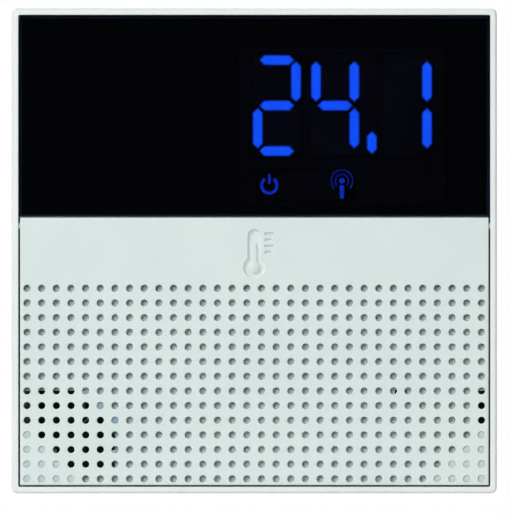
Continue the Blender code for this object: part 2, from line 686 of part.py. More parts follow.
def chassis(material):
    """The inner plate: gussets for the corner screws, ribs round the display, and windows."""
    plate = block("chassis", (-FILL_X, FILL_X, -FILL_Z, FILL_Z), CHASSIS_BACK, CHASSIS_FACE, material)

    mesh = bmesh.new()
    inside = CHASSIS_THICKNESS / 2
    for side_x, side_z in corners(1, 1):
        front = COVER_BACK - GAP if side_z < 0 else MASK_BACK - GAP
        add_prism(mesh, gusset_outline(side_x, side_z), CHASSIS_FACE - inside, front)
    rib_bottom = COVER_TOP + RIB_OVER_COVER
    rib_top = FILL_Z - GUSSET_LEG
    for side in (-1, 1):
        edges_x = sorted((side * FILL_X, side * (FILL_X - RIB_THICKNESS)))
        add_box(mesh, *edges_x, rib_bottom + 2 * RIB_THICKNESS, rib_top - RIB_THICKNESS,
                CHASSIS_FACE - inside, MASK_BACK - GAP)
        add_post(mesh, side * DISPLAY_SCREW_X, DISPLAY_SCREW_Z, BOARD_FACE + GAP, CHASSIS_BACK + inside,
                 POST_RADIUS)
    add_box(mesh, -FILL_X, FILL_X, rib_bottom, rib_bottom + RIB_THICKNESS,
            CHASSIS_FACE - inside, MASK_BACK - GAP)
    add_box(mesh, GUSSET_LEG - FILL_X + RIB_THICKNESS, FILL_X - GUSSET_LEG - RIB_THICKNESS,
            FILL_Z - RIB_THICKNESS, FILL_Z, CHASSIS_FACE - inside, MASK_BACK - GAP)
    add_prism(mesh, window_rib_outline(), CHASSIS_FACE - inside, CHASSIS_FACE + WINDOW_RIB_HEIGHT)
    join(plate, mesh, "gussets_and_ribs")

    mesh = bmesh.new()
    through = (CHASSIS_BACK - GAP, CHASSIS_FACE + GAP)
    add_box(mesh, *grown(module_edges(), GAP), *through)
    add_prism(mesh, air_window_outline(), *through)
    slot_top = COVER_BOTTOM + AIR_WINDOW_TOP
    add_box(mesh, *around(hole_columns()[-1], SIDE_SLOT_WIDTH), slot_top - SIDE_SLOT_HEIGHT, slot_top,
            *through)
    add_box(mesh, *around(TIE_SLOT_X, TIE_SLOT_WIDTH), *around(slot_top - TIE_SLOT_DROP, TIE_SLOT_HEIGHT),
            *through)
    add_post(mesh, BUTTON_X, BUTTON_Z, *through, BUTTON_RADIUS + GAP)
    add_post(mesh, 0, MARK_Z, *through, TOUCH_HOLE_RADIUS)
    cut(plate, mesh, "windows")

    mesh = bmesh.new()
    for x, z in corners(CORNER_SCREW_X, CORNER_SCREW_Z):
        add_post(mesh, x, z, CHASSIS_BACK - GAP, BOSS_FRONT + CORNER_SCREW_REACH + GAP,
                 SCREW_RADIUS + GAP, SMALL_ROUND)
    for x, z in display_screw_places():
        add_post(mesh, x, z, BOARD_FACE, BOARD_FACE + DISPLAY_SCREW_REACH + GAP,
                 SCREW_RADIUS + GAP, SMALL_ROUND)
    cut(plate, mesh, "pilots")
    return plate


# --- Display board and what is on it ----------------------------------------------------------

def display_board(material):
    """The board behind the chassis, clear of the frame's corner blocks and of the air window."""
    mesh = bmesh.new()
    edge_x, edge_z = FILL_X - DISPLAY_BOARD_INSET, FILL_Z - DISPLAY_BOARD_INSET
    corner_x, corner_z = INNER_X - BOSS_SIZE - GAP, INNER_Z - BOSS_SIZE - GAP
    notch_x = AIR_WINDOW_RIGHT + BOARD_NOTCH_MARGIN
    notch_z = COVER_BOTTOM + AIR_WINDOW_TOP + BOARD_NOTCH_MARGIN
    outline = [
        (corner_x, edge_z), (-corner_x, edge_z), (-corner_x, corner_z), (-edge_x, corner_z),
        (-edge_x, notch_z), (notch_x, notch_z), (notch_x, -edge_z),
        (corner_x, -edge_z), (corner_x, -corner_z), (edge_x, -corner_z), (edge_x, corner_z),
        (corner_x, corner_z),
    ]
    add_prism(mesh, outline, BOARD_BACK, BOARD_FACE)
    board = piece("display_board", mesh, material)
    mesh = bmesh.new()
    for x, z in display_screw_places():
        add_post(mesh, x, z, BOARD_BACK - GAP, BOARD_FACE + GAP, SCREW_RADIUS + GAP, SMALL_ROUND)
    cut(board, mesh, "holes")
    return board


def tact_switch(material):
    """The small square switch under the pairing button."""
    half = SWITCH_SIZE / 2
    edges = (BUTTON_X - half, BUTTON_X + half, BUTTON_Z - half, BUTTON_Z + half)
    return block("tact_switch", edges, BOARD_FACE + GAP, SWITCH_FACE, material, chamfer=GAP)


def pairing_button(material, guide):
    """The button that reaches from the switch through the chassis, with a flange behind it."""
    mesh = bmesh.new()
    add_post(mesh, BUTTON_X, BUTTON_Z, BUTTON_BACK, BUTTON_BACK + BUTTON_FLANGE_HEIGHT, BUTTON_FLANGE_RADIUS)
    button = piece("pairing_button", mesh, material, guide, guide.location)
    mesh = bmesh.new()
    add_post(mesh, BUTTON_X, BUTTON_Z, BUTTON_BACK + BUTTON_FLANGE_HEIGHT / 2,
             CHASSIS_FACE + BUTTON_PROUD, BUTTON_RADIUS)
    join(button, mesh, "stem")
    return button


def touch_spring(material):
    """The coil that joins the display board to the back of the cover's mark."""
    mesh = bmesh.new()
    length = COVER_BACK - BOARD_FACE - 2 * GAP - 2 * TOUCH_SPRING_WIRE
    start = (0, -(BOARD_FACE + GAP + TOUCH_SPRING_WIRE), MARK_Z)
    add_coil(mesh, start, (0, -1, 0), TOUCH_SPRING_RADIUS - TOUCH_SPRING_WIRE, TOUCH_SPRING_WIRE,
             TOUCH_SPRING_TURNS, length / TOUCH_SPRING_TURNS)
    return piece("touch_spring", mesh, material)


def temperature_sensor(material):
    """A thermistor bead that hangs on two leads in the air window."""
    lead_top = COVER_BOTTOM + AIR_WINDOW_TOP + BOARD_NOTCH_MARGIN - GAP
    bead_z = lead_top - SENSOR_LEAD_LENGTH
    middle = -(BOARD_BACK + BOARD_FACE) / 2
    mesh = bmesh.new()
    bmesh.ops.create_uvsphere(
        mesh, u_segments=SMALL_ROUND, v_segments=SMALL_ROUND // 2, radius=SENSOR_BEAD_RADIUS,
        matrix=Matrix.Translation((SENSOR_X, middle, bead_z)),
    )
    sensor = piece("temperature_sensor", mesh, material)
    mesh = bmesh.new()
    for side in (-1, 1):
        x = SENSOR_X + side * SENSOR_LEAD_SPACING / 2
        add_rod(mesh, (x, middle, bead_z), (x, middle, lead_top), SENSOR_LEAD_RADIUS, 6)
    join(sensor, mesh, "leads")
    return sensor


def radio_module(material):
    """The small radio board with its shield can, behind the display board."""
    edges = RADIO_MODULE[:4]
    board_back = UNDER_DISPLAY_BOARD - RADIO_BOARD_THICKNESS
    module = block("radio_module", edges, board_back, UNDER_DISPLAY_BOARD, material)
    mesh = bmesh.new()
    add_box(mesh, *grown(edges, -RADIO_CAN_BORDER), UNDER_DISPLAY_BOARD - RADIO_MODULE[4],
            board_back + RADIO_BOARD_THICKNESS / 2)
    join(module, mesh, "can")
    return module


def antenna(material):
    """A helical wire antenna that stands along the display board's back."""
    mesh = bmesh.new()
    x, z = ANTENNA_BOTTOM
    start = (x, -(UNDER_DISPLAY_BOARD - ANTENNA_OFF_BOARD), z)
    add_coil(mesh, start, (0, 0, 1), ANTENNA_RADIUS, ANTENNA_WIRE, ANTENNA_TURNS, ANTENNA_PITCH)
    return piece("antenna", mesh, material)


def buzzer(material):
    """The round sounder, with its port facing back."""
    x, z = BUZZER_CENTRE
    mesh = bmesh.new()
    back = UNDER_DISPLAY_BOARD - BUZZER_HEIGHT
    add_post(mesh, x, z, back, UNDER_DISPLAY_BOARD, BUZZER_RADIUS, 20)
    made = piece("buzzer", mesh, material)
    mesh = bmesh.new()
    add_post(mesh, x, z, back - GAP, back + BUZZER_HEIGHT / 3, BUZZER_PORT_RADIUS, SMALL_ROUND)
    cut(made, mesh, "port")
    return made


def microcontroller(material):
    """The square chip behind the display board."""
    *edges, height = MICROCONTROLLER
    return block("microcontroller", edges, UNDER_DISPLAY_BOARD - height, UNDER_DISPLAY_BOARD, material,
                 chamfer=GAP / 2)


def header_plug(material):
    """The display board's half of the connector between the boards."""
    return block("header_plug", HEADER[:4], ON_MAINS + HEADER[4] + GAP, UNDER_DISPLAY_BOARD, material,
                 chamfer=GAP / 2)


# --- Mains board and what is on it ------------------------------------------------------------

def mains_screw_places():
    """The (x, z) of the four screws that hold the mains board."""
    return corners(MAINS_BOARD_WIDTH / 2 - MAINS_SCREW_INSET, MAINS_BOARD_HEIGHT / 2 - MAINS_SCREW_INSET)


def cable_window(margin=0.0):
    """Left, right, bottom and top edges of the window that the wall's cables come through."""
    half_width, half_height = CABLE_WINDOW_WIDTH / 2, CABLE_WINDOW_HEIGHT / 2
    return grown((-half_width, half_width, CABLE_WINDOW_MIDDLE - half_height,
                  CABLE_WINDOW_MIDDLE + half_height), margin)


def mains_board(material):
    """The board on the wall base, with a window for the cables."""
    mesh = bmesh.new()
    outline = rounded_rectangle(MAINS_BOARD_WIDTH / 2, MAINS_BOARD_HEIGHT / 2, BASE_CORNER_RADIUS)
    add_prism(mesh, outline, MAINS_BACK, MAINS_FACE)
    board = piece("mains_board", mesh, material)
    mesh = bmesh.new()
    through = (MAINS_BACK - GAP, MAINS_FACE + GAP)
    add_box(mesh, *cable_window(GAP), *through)
    for x, z in mains_screw_places():
        add_post(mesh, x, z, *through, SCREW_RADIUS + GAP, SMALL_ROUND)
    cut(board, mesh, "holes")
    return board


def on_mains_board(name, size, material, chamfer):
    """A box-shaped part on the mains board, from its edges and height."""
    *edges, height = size
    return block(name, edges, ON_MAINS, ON_MAINS + height, material, chamfer)


def header_socket(material):
    """The mains board's half of the connector between the boards."""
    return on_mains_board("header_socket", HEADER, material, GAP / 2)


def varistor(material):
    """A round disc that stands on edge."""
    x, z = VARISTOR_CENTRE
    y = -(ON_MAINS + VARISTOR_RADIUS)
    half = VARISTOR_THICKNESS / 2
    mesh = bmesh.new()
    add_rod(mesh, (x, y, z - half), (x, y, z + half), VARISTOR_RADIUS)
    return piece("varistor", mesh, material)


def electrolytic_capacitor(material):
    """An upright can with a groove near its foot."""
    x, z = ELECTROLYTIC_CENTRE
    profile = ((ELECTROLYTIC_RADIUS, 0), (ELECTROLYTIC_RADIUS, 0.10), (ELECTROLYTIC_RADIUS * 0.9, 0.15),
               (ELECTROLYTIC_RADIUS, 0.20), (ELECTROLYTIC_RADIUS, 0.96), (ELECTROLYTIC_RADIUS * 0.92, 1))
    mesh = bmesh.new()
    ring = [mesh.verts.new((x + radius, -(ON_MAINS + share * ELECTROLYTIC_HEIGHT), z))
            for radius, share in profile]
    side = [mesh.edges.new(pair) for pair in zip(ring, ring[1:])]
    bmesh.ops.spin(mesh, geom=ring + side, cent=(x, 0, z), axis=(0, 1, 0), angle=2 * math.pi,
                   steps=ROUND, use_merge=True)
    ends = [edge for edge in mesh.edges if edge.is_boundary]
    bmesh.ops.holes_fill(mesh, edges=ends, sides=ROUND)
    return piece("electrolytic_capacitor", mesh, material)


def terminal_places():
    """The x of each way of the terminal block."""
    return [(index - (TERMINALS - 1) / 2) * TERMINAL_PITCH for index in range(TERMINALS)]


def terminal_block(material):
    """The block for the mains and load wires: entries in its top, screw wells in its front."""
    half = TERMINALS * TERMINAL_PITCH / 2
    bottom = -MAINS_BOARD_HEIGHT / 2 + TERMINAL_BLOCK_EDGE
    top = bottom + TERMINAL_BLOCK_HEIGHT
    front = ON_MAINS + TERMINAL_BLOCK_DEPTH
    made = block("terminal_block", (-half, half, bottom, top), ON_MAINS, front, material, chamfer=GAP)
    mesh = bmesh.new()
    entry = TERMINAL_ENTRY_SIZE / 2
    for x in terminal_places():
        add_box(mesh, x - entry, x + entry, top - TERMINAL_ENTRY_LENGTH, top + GAP,
                *around(ON_MAINS + TERMINAL_BLOCK_DEPTH / 3, TERMINAL_ENTRY_SIZE))
        add_post(mesh, x, (top + bottom) / 2, CLAMP_SCREW_BACK - GAP, front + GAP,
                 CLAMP_SCREW_RADIUS + GAP, ROUND)
    cut(made, mesh, "wells")
    return made


def clamp_screw(name, x, material):
    """One slotted screw down in its well in the terminal block."""
    z = -MAINS_BOARD_HEIGHT / 2 + TERMINAL_BLOCK_EDGE + TERMINAL_BLOCK_HEIGHT / 2
    front = CLAMP_SCREW_BACK + CLAMP_SCREW_HEIGHT
    mesh = bmesh.new()
    add_post(mesh, x, z, CLAMP_SCREW_BACK, front, CLAMP_SCREW_RADIUS)
    made = piece(name, mesh, material)
    mesh = bmesh.new()
    add_box(mesh, x - CLAMP_SCREW_RADIUS, x + CLAMP_SCREW_RADIUS, *around(z, SLOT_WIDTH),
            front - SLOT_DEPTH, front + GAP)
    cut(made, mesh, "slot")
    return made


# --- Wall base --------------------------------------------------------------------------------

def wall_base(material):
    """The tray that is screwed to the wall, with the mains board on its posts."""
    mesh = bmesh.new()
    add_prism(mesh, rounded_rectangle(BASE_X, BASE_Z, BASE_CORNER_RADIUS), 0, BASE_RIM_DEPTH)
    base = piece("wall_base", mesh, material)

    mesh = bmesh.new()
    add_prism(mesh, rounded_rectangle(BASE_X - BASE_RIM, BASE_Z - BASE_RIM, GAP, steps=1),
              BASE_FLOOR, BASE_RIM_DEPTH + GAP)
    cut(base, mesh, "inside")
    mesh = bmesh.new()
    tab_half = TAB_WIDTH / 2 + GAP
    add_box(mesh, -tab_half, tab_half, -BASE_Z - GAP, -BASE_Z + BASE_RIM + GAP,
            BASE_FLOOR, BASE_RIM_DEPTH + GAP)
    cut(base, mesh, "tab_gap")

    mesh = bmesh.new()
    inside = BASE_FLOOR / 2
    for x, z in mains_screw_places():
        add_post(mesh, x, z, inside, BASE_FLOOR + BOARD_POST_HEIGHT, BOARD_POST_RADIUS)
    for x in (-SNAP_SPACING, SNAP_SPACING):
        add_box(mesh, x - SNAP_LENGTH / 2, x + SNAP_LENGTH / 2, BASE_Z - BASE_RIM / 2, INNER_Z - GAP,
                *around(HOOK_DEPTH, SNAP_THICKNESS))
    join(base, mesh, "posts_and_hooks")

    mesh = bmesh.new()
    add_box(mesh, *cable_window(), -GAP, BASE_FLOOR + GAP)
    for side in (-1, 1):
        x = side * FIXING_CENTRES / 2
        slot = rounded_rectangle(FIXING_SLOT_LENGTH / 2, FIXING_SLOT_WIDTH / 2, FIXING_SLOT_WIDTH / 2,
                                 middle_x=x)
        add_prism(mesh, slot, -GAP, BASE_FLOOR + GAP)
    for x, z in mains_screw_places():
        add_post(mesh, x, z, BASE_FLOOR / 3, BASE_FLOOR + BOARD_POST_HEIGHT + GAP,
                 SCREW_RADIUS + GAP, SMALL_ROUND)
    cut(base, mesh, "holes")
    return base


def release_tab(material, root):
    """The springy hook at the bottom that holds the frame to the wall base."""
    mesh = bmesh.new()
    half = TAB_WIDTH / 2
    back = BASE_FLOOR + GAP
    add_box(mesh, -half, half, -BASE_Z, -BASE_Z + TAB_THICKNESS, back, back + TAB_LENGTH)
    tab = piece("release_tab", mesh, material, root, root.location)
    mesh = bmesh.new()
    add_box(mesh, -half, half, -INNER_Z + GAP, -BASE_Z + TAB_THICKNESS / 2,
            *around(HOOK_DEPTH, SNAP_THICKNESS))
    join(tab, mesh, "hook")
    return tab


# --- Assembly ---------------------------------------------------------------------------------

def guide(name, x, depth, z):
    """An empty on the line that a moving piece turns or slides on."""
    empty = bpy.data.objects.new(name, None)
    empty.location = (x, -depth, z)
    empty.empty_display_size = 0.005
    bpy.context.scene.collection.objects.link(empty)
    return empty


def front_unit():
    """Everything that comes off the wall base with the frame."""
    white = finish("white_abs", 229, 232, 230, 0.42)
    cover_white = finish("cover_abs", 216, 230, 227, 0.5)
    inner_white = finish("inner_abs", 222, 229, 229, 0.55)
    smoked = finish("smoked_acrylic", 3, 6, 13, 0.06)
    black = finish("black_abs", 14, 15, 18, 0.5)
    lit = finish("blue_diffuser", 20, 79, 252, 0.35)
    black_board = finish("black_solder_mask", 22, 26, 30, 0.4)
    light_blue = finish("light_blue_abs", 150, 205, 225, 0.45)
    steel = finish("zinc_plated_steel", 190, 193, 196, 0.35, 1.0)
    copper = finish("copper_wire", 200, 128, 88, 0.3, 1.0)
    epoxy = finish("epoxy", 24, 24, 26, 0.35)

    front_frame(white)
    display_lens(smoked)
    display_mask(black)
    display_housing(black)
    for index, place in enumerate(("tens", "units", "tenths")):
        figure_diffuser(f"figure_{place}", index, lit)
    lamp_strip(lit)
    chassis(inner_white)
    display_board(black_board)
    tact_switch(black)
    touch_spring(steel)
    temperature_sensor(epoxy)
    radio_module(steel)
    antenna(copper)
    buzzer(black)
    microcontroller(epoxy)
    header_plug(black)
    grille_cover(cover_white, guide("cover_hinge", 0, HINGE_DEPTH, HINGE_Z))
    pairing_button(light_blue, guide("button_guide", BUTTON_X, BUTTON_BACK, BUTTON_Z))
    for index, (x, z) in enumerate(corners(CORNER_SCREW_X, CORNER_SCREW_Z), 1):
        screw(f"corner_screw_{index}", x, z, BOSS_BACK, BOSS_FRONT + CORNER_SCREW_REACH, steel)
    for index, (x, z) in enumerate(display_screw_places(), 1):
        screw(f"display_screw_{index}", x, z, BOARD_BACK, BOARD_FACE + DISPLAY_SCREW_REACH, steel)


def wall_unit():
    """Everything that stays on the wall."""
    base_white = finish("base_abs", 218, 221, 219, 0.5)
    green_board = finish("green_solder_mask", 28, 84, 52, 0.4)
    black = finish("black_pbt", 20, 21, 23, 0.45)
    green = finish("green_pa66", 48, 132, 84, 0.45)
    yellow = finish("yellow_film", 214, 178, 62, 0.45)
    blue = finish("blue_coating", 38, 92, 158, 0.4)
    grey = finish("grey_pbt", 128, 132, 136, 0.45)
    sleeve = finish("black_sleeve", 18, 22, 40, 0.3)
    steel = finish("plated_steel", 190, 193, 196, 0.35, 1.0)

    wall_base(base_white)
    release_tab(base_white, guide("tab_root", 0, BASE_FLOOR + GAP, TAB_THICKNESS / 2 - BASE_Z))
    mains_board(green_board)
    on_mains_board("supply_module", SUPPLY_MODULE, black, GAP)
    on_mains_board("relay", RELAY, blue, GAP)
    on_mains_board("film_capacitor", FILM_CAPACITOR, yellow, GAP)
    on_mains_board("fuse", FUSE, grey, GAP)
    varistor(blue)
    electrolytic_capacitor(sleeve)
    header_socket(black)
    terminal_block(green)
    for index, x in enumerate(terminal_places(), 1):
        clamp_screw(f"clamp_screw_{index}", x, steel)
    for index, (x, z) in enumerate(mains_screw_places(), 1):
        screw(f"board_screw_{index}", x, z, MAINS_FACE, BASE_FLOOR / 3 + GAP, steel)


def main():
    """Clears the scene and builds the thermostat."""
    for old in list(bpy.data.objects):
        bpy.data.objects.remove(old, do_unlink=True)
    wall_unit()
    front_unit()


main()
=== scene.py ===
"""Looks of the wall thermostat: a moulded frame, a smoked window with lit figures and a perforated cover.

Metres, +Z up. The wall is the plane y = 0 and the front faces -Y. A depth is a distance from the wall, so
a point at depth d has y = -d. Every place and size comes from the frame's boxes and the sizes named here.
"""

import json
import logging
import math
from collections.abc import Sequence
from dataclasses import dataclass, replace
from enum import Enum

import bmesh
import bpy
from bmesh.types import BMEdge, BMesh, BMFace, BMVert
from mathutils import Matrix, Vector


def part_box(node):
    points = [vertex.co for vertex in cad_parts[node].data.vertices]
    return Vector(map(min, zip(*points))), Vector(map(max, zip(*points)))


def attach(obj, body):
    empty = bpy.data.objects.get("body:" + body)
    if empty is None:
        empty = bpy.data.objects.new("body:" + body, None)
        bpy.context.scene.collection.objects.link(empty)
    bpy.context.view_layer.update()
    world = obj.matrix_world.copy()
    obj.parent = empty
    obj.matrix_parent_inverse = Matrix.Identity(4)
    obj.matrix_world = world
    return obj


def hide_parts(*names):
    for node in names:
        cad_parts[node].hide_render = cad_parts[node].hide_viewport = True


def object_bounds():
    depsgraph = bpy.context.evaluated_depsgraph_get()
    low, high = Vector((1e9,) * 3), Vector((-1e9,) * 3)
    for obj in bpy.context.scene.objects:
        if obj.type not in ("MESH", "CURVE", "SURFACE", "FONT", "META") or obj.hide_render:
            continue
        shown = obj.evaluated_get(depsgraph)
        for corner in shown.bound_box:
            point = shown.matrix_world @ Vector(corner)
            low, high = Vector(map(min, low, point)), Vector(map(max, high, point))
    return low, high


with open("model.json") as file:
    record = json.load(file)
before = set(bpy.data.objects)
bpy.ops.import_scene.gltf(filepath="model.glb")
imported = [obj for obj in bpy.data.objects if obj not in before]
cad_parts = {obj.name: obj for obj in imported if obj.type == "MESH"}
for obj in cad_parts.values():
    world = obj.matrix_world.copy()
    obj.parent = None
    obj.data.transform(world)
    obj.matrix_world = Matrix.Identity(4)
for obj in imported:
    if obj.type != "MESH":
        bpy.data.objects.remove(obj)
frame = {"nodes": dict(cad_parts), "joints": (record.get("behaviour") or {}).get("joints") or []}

CAD_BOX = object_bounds()
LOG = logging.getLogger("thermostat")
MM = 0.001
CREASE = 40.0                   # degrees: a sharper bend is an edge, a softer one is a curve
HAIR = 0.00001                  # lifts a thin detail just clear of the face it lies on
SAME = HAIR / 10                # points nearer than this are one point

Socket = bpy.types.NodeSocket
Tree = bpy.types.NodeTree


class Join(Enum):
    """How a second shape changes a first one."""

    ADD = "UNION"
    CUT = "DIFFERENCE"


class Body(Enum):
    """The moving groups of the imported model."""

    HOUSING = "housing"
    COVER = "cover"
    BUTTON = "button"
    TAB = "tab"


# --- Finishes ---------------------------------------------------------------------------------

def linear_colour(code: str) -> tuple[float, float, float, float]:
    """Turns an sRGB hex colour into the linear one that a shader takes.

    Args:
        code: Six hex digits, such as "D8E6E3".

    Returns:
        Red, green, blue and an alpha of 1.
    """
    channels = [int(code[start:start + 2], 16) / 255 for start in (0, 2, 4)]
    red, green, blue = [
        value / 12.92 if value <= 0.04045 else ((value + 0.055) / 1.055) ** 2.4 for value in channels
    ]
    return red, green, blue, 1.0


def set_inputs(tree: Tree, node: bpy.types.Node, inputs: dict) -> None:
    """Gives a node's sockets their values, or a link where the value is itself a socket.

    Args:
        tree: The node's tree.
        node: The node.
        inputs: Values or sockets, by the name or the number of the input.
    """
    for name, value in inputs.items():
        if isinstance(value, Socket):
            tree.links.new(value, node.inputs[name])
        else:
            node.inputs[name].default_value = value


def add_node(tree: Tree, kind: str, settings: dict | None = None,
             inputs: dict | None = None) -> bpy.types.Node:
    """Adds one node, with its settings, its plain values and its links.

    Args:
        tree: The node tree that it goes in.
        kind: The node's type name.
        settings: Properties of the node by name.
        inputs: Its inputs, as set_inputs takes them.

    Returns:
        The node.
    """
    node = tree.nodes.new(kind)
    for name, value in (settings or {}).items():
        setattr(node, name, value)
    set_inputs(tree, node, inputs or {})
    return node


def mottle(tree: Tree, size: float, ends: tuple[float, float] | None = None, detail: float = 2.0) -> Socket:
    """A soft random pattern whose blotches are about size across.

    Args:
        tree: The node tree.
        size: Width of a blotch in metres.
        ends: Two values that the middle of the pattern is stretched between; left as it is without them.
        detail: How many finer layers it has.

    Returns:
        The pattern's socket.
    """
    place = add_node(tree, "ShaderNodeTexCoord").outputs["Object"]
    noise = add_node(tree, "ShaderNodeTexNoise", inputs={
        "Vector": place, "Scale": 1 / size, "Detail": detail, "Roughness": 0.55,
    }).outputs["Fac"]
    if ends is None:
        return noise
    return add_node(tree, "ShaderNodeMapRange", inputs={
        "Value": noise, "From Min": 0.3, "From Max": 0.7, "To Min": ends[0], "To Max": ends[1],
    }).outputs["Result"]


@dataclass(frozen=True)
class Finish:
    """What every finish has: a name, a colour that drifts a little to a second one, and a roughness."""

    name: str
    colour: str
    shade: str
    roughness: float

    def material(self) -> bpy.types.Material:
        """Makes the finish's material the first time that it is asked for.

        Returns:
            The material.
        """
        found = bpy.data.materials.get(self.name)
        if found is not None:
            return found
        made = bpy.data.materials.new(self.name)
        made.use_nodes = True
        made.diffuse_color = linear_colour(self.colour)
        shader = made.node_tree.nodes["Principled BSDF"]
        set_inputs(made.node_tree, shader, {
            "Base Color": linear_colour(self.colour), "Roughness": self.roughness})
        self.dress(made.node_tree, shader)
        return made

    def dress(self, tree: Tree, shader: bpy.types.Node) -> None:
        """Adds the finish's own patterns to its shader.

        Args:
            tree: The material's node tree.
            shader: Its shader.
        """

    def about(self, amount: float) -> tuple[float, float]:
        """The roughness less and plus an amount."""
        return self.roughness - amount, self.roughness + amount

    def vary(self, tree: Tree, shader: bpy.types.Node, drift: Socket, gloss: Socket | None = None,
             dents: Socket | None = None, depth: float = 0.0) -> None:
        """Lets patterns drive the colour, the gloss and the surface.

        Args:
            tree: The material's node tree.
            shader: Its shader.
            drift: Blends the colour into the shade, from 0 to 1.
            gloss: The roughness; an even one if it is left out.
            dents: Dents in the surface; none if it is left out.
            depth: The dents' real depth in metres.
        """
        blend = {"Factor": drift, 6: linear_colour(self.colour), 7: linear_colour(self.shade)}
        driven = {"Base Color": add_node(tree, "ShaderNodeMix", {"data_type": "RGBA"}, blend).outputs[2]}
        if gloss is not None:
            driven["Roughness"] = gloss
        if dents is not None:
            driven["Normal"] = add_node(tree, "ShaderNodeBump", inputs={
                "Height": dents, "Distance": depth, "Strength": 1.0}).outputs["Normal"]
        set_inputs(tree, shader, driven)


@dataclass(frozen=True)
class MouldedPlastic(Finish):
    """An injection-moulded plastic: a fine eroded grain from the tool, and a slight drift of colour."""

    grain: float = 0.45 * MM
    grain_depth: float = 0.004 * MM
    drift: float = 14 * MM
    gloss_spread: float = 0.05
    ior: float = 1.50
    coat: float = 0.0

    def dress(self, tree: Tree, shader: bpy.types.Node) -> None:
        """Drives colour, gloss and surface from two sizes of mottle.

        Args:
            tree: The material's node tree.
            shader: Its shader.
        """
        drift = mottle(tree, self.drift, (0, 1))
        gloss = mottle(tree, self.grain, self.about(self.gloss_spread))
        self.vary(tree, shader, drift, gloss, mottle(tree, self.grain), self.grain_depth)
        set_inputs(tree, shader, {"IOR": self.ior, "Coat Weight": self.coat, "Coat Roughness": 0.12})


@dataclass(frozen=True)
class ClearSheet(Finish):
    """A polished, tinted, see-through sheet: cast acrylic with a very slight unevenness."""

    wave: float = 9 * MM
    wave_depth: float = 0.002 * MM
    ior: float = 1.49

    def dress(self, tree: Tree, shader: bpy.types.Node) -> None:
        """Makes it clear, with a faint drift of its tint and a faint wave in its polish.

        Args:
            tree: The material's node tree.
            shader: Its shader.
        """
        set_inputs(tree, shader, {"Transmission Weight": 1.0, "IOR": self.ior})
        drift = mottle(tree, self.wave, (0, 1))
        self.vary(tree, shader, drift, dents=mottle(tree, self.wave), depth=self.wave_depth)


@dataclass(frozen=True)
class LightPipe(Finish):
    """Milky epoxy lit from behind by a small lamp: the resin's filler makes the glow slightly uneven."""

    glow: str = "1450FF"
    glow_shade: str = "0F3CE0"
    strength: float = 1.0
    filler: float = 0.7 * MM

    def dress(self, tree: Tree, shader: bpy.types.Node) -> None:
        """Lets the glow drift between its two colours.

        Args:
            tree: The material's node tree.
            shader: Its shader.
        """
        uneven = mottle(tree, self.filler, (0, 1), 3.0)
        self.vary(tree, shader, uneven)
        blend = {"Factor": uneven, 6: linear_colour(self.glow_shade), 7: linear_colour(self.glow)}
        set_inputs(tree, shader, {
            "Emission Color": add_node(tree, "ShaderNodeMix", {"data_type": "RGBA"}, blend).outputs[2],
            "Emission Strength": self.strength,
        })


@dataclass(frozen=True)
class SolderMask(Finish):
    """A circuit board's lacquer over copper tracks, which show through as paler raised lines."""

    track_pitch: float = 2.2 * MM
    track_depth: float = 0.03 * MM

    def dress(self, tree: Tree, shader: bpy.types.Node) -> None:
        """Draws the tracks as the edges of square-cornered cells.

        Args:
            tree: The material's node tree.
            shader: Its shader.
        """
        place = add_node(tree, "ShaderNodeTexCoord").outputs["Object"]
        cells = add_node(tree, "ShaderNodeTexVoronoi", {"distance": "CHEBYCHEV"}, {
            "Vector": place, "Scale": 1 / self.track_pitch, "Randomness": 0.85,
        })
        track = add_node(tree, "ShaderNodeMapRange", inputs={
            "Value": cells.outputs["Distance"], "From Min": 0.42, "From Max": 0.5,
        }).outputs["Result"]
        self.vary(tree, shader, track, mottle(tree, 3 * MM, self.about(0.06)), track, self.track_depth)
        set_inputs(tree, shader, {"Coat Weight": 0.4, "Coat Roughness": 0.15})


@dataclass(frozen=True)
class BareMetal(Finish):
    """Plated or drawn metal: full metal with fine cloudiness in its gloss."""

    grain: float = 0.5 * MM
    grain_depth: float = 0.006 * MM
    gloss_spread: float = 0.08

    def dress(self, tree: Tree, shader: bpy.types.Node) -> None:
        """Clouds the plating's colour and gloss.

        Args:
            tree: The material's node tree.
            shader: Its shader.
        """
        set_inputs(tree, shader, {"Metallic": 1.0})
        gloss = mottle(tree, self.grain, self.about(self.gloss_spread), 3.0)
        self.vary(tree, shader, mottle(tree, 6 * self.grain, (0, 1)), gloss,
                  mottle(tree, self.grain, detail=3.0), self.grain_depth)


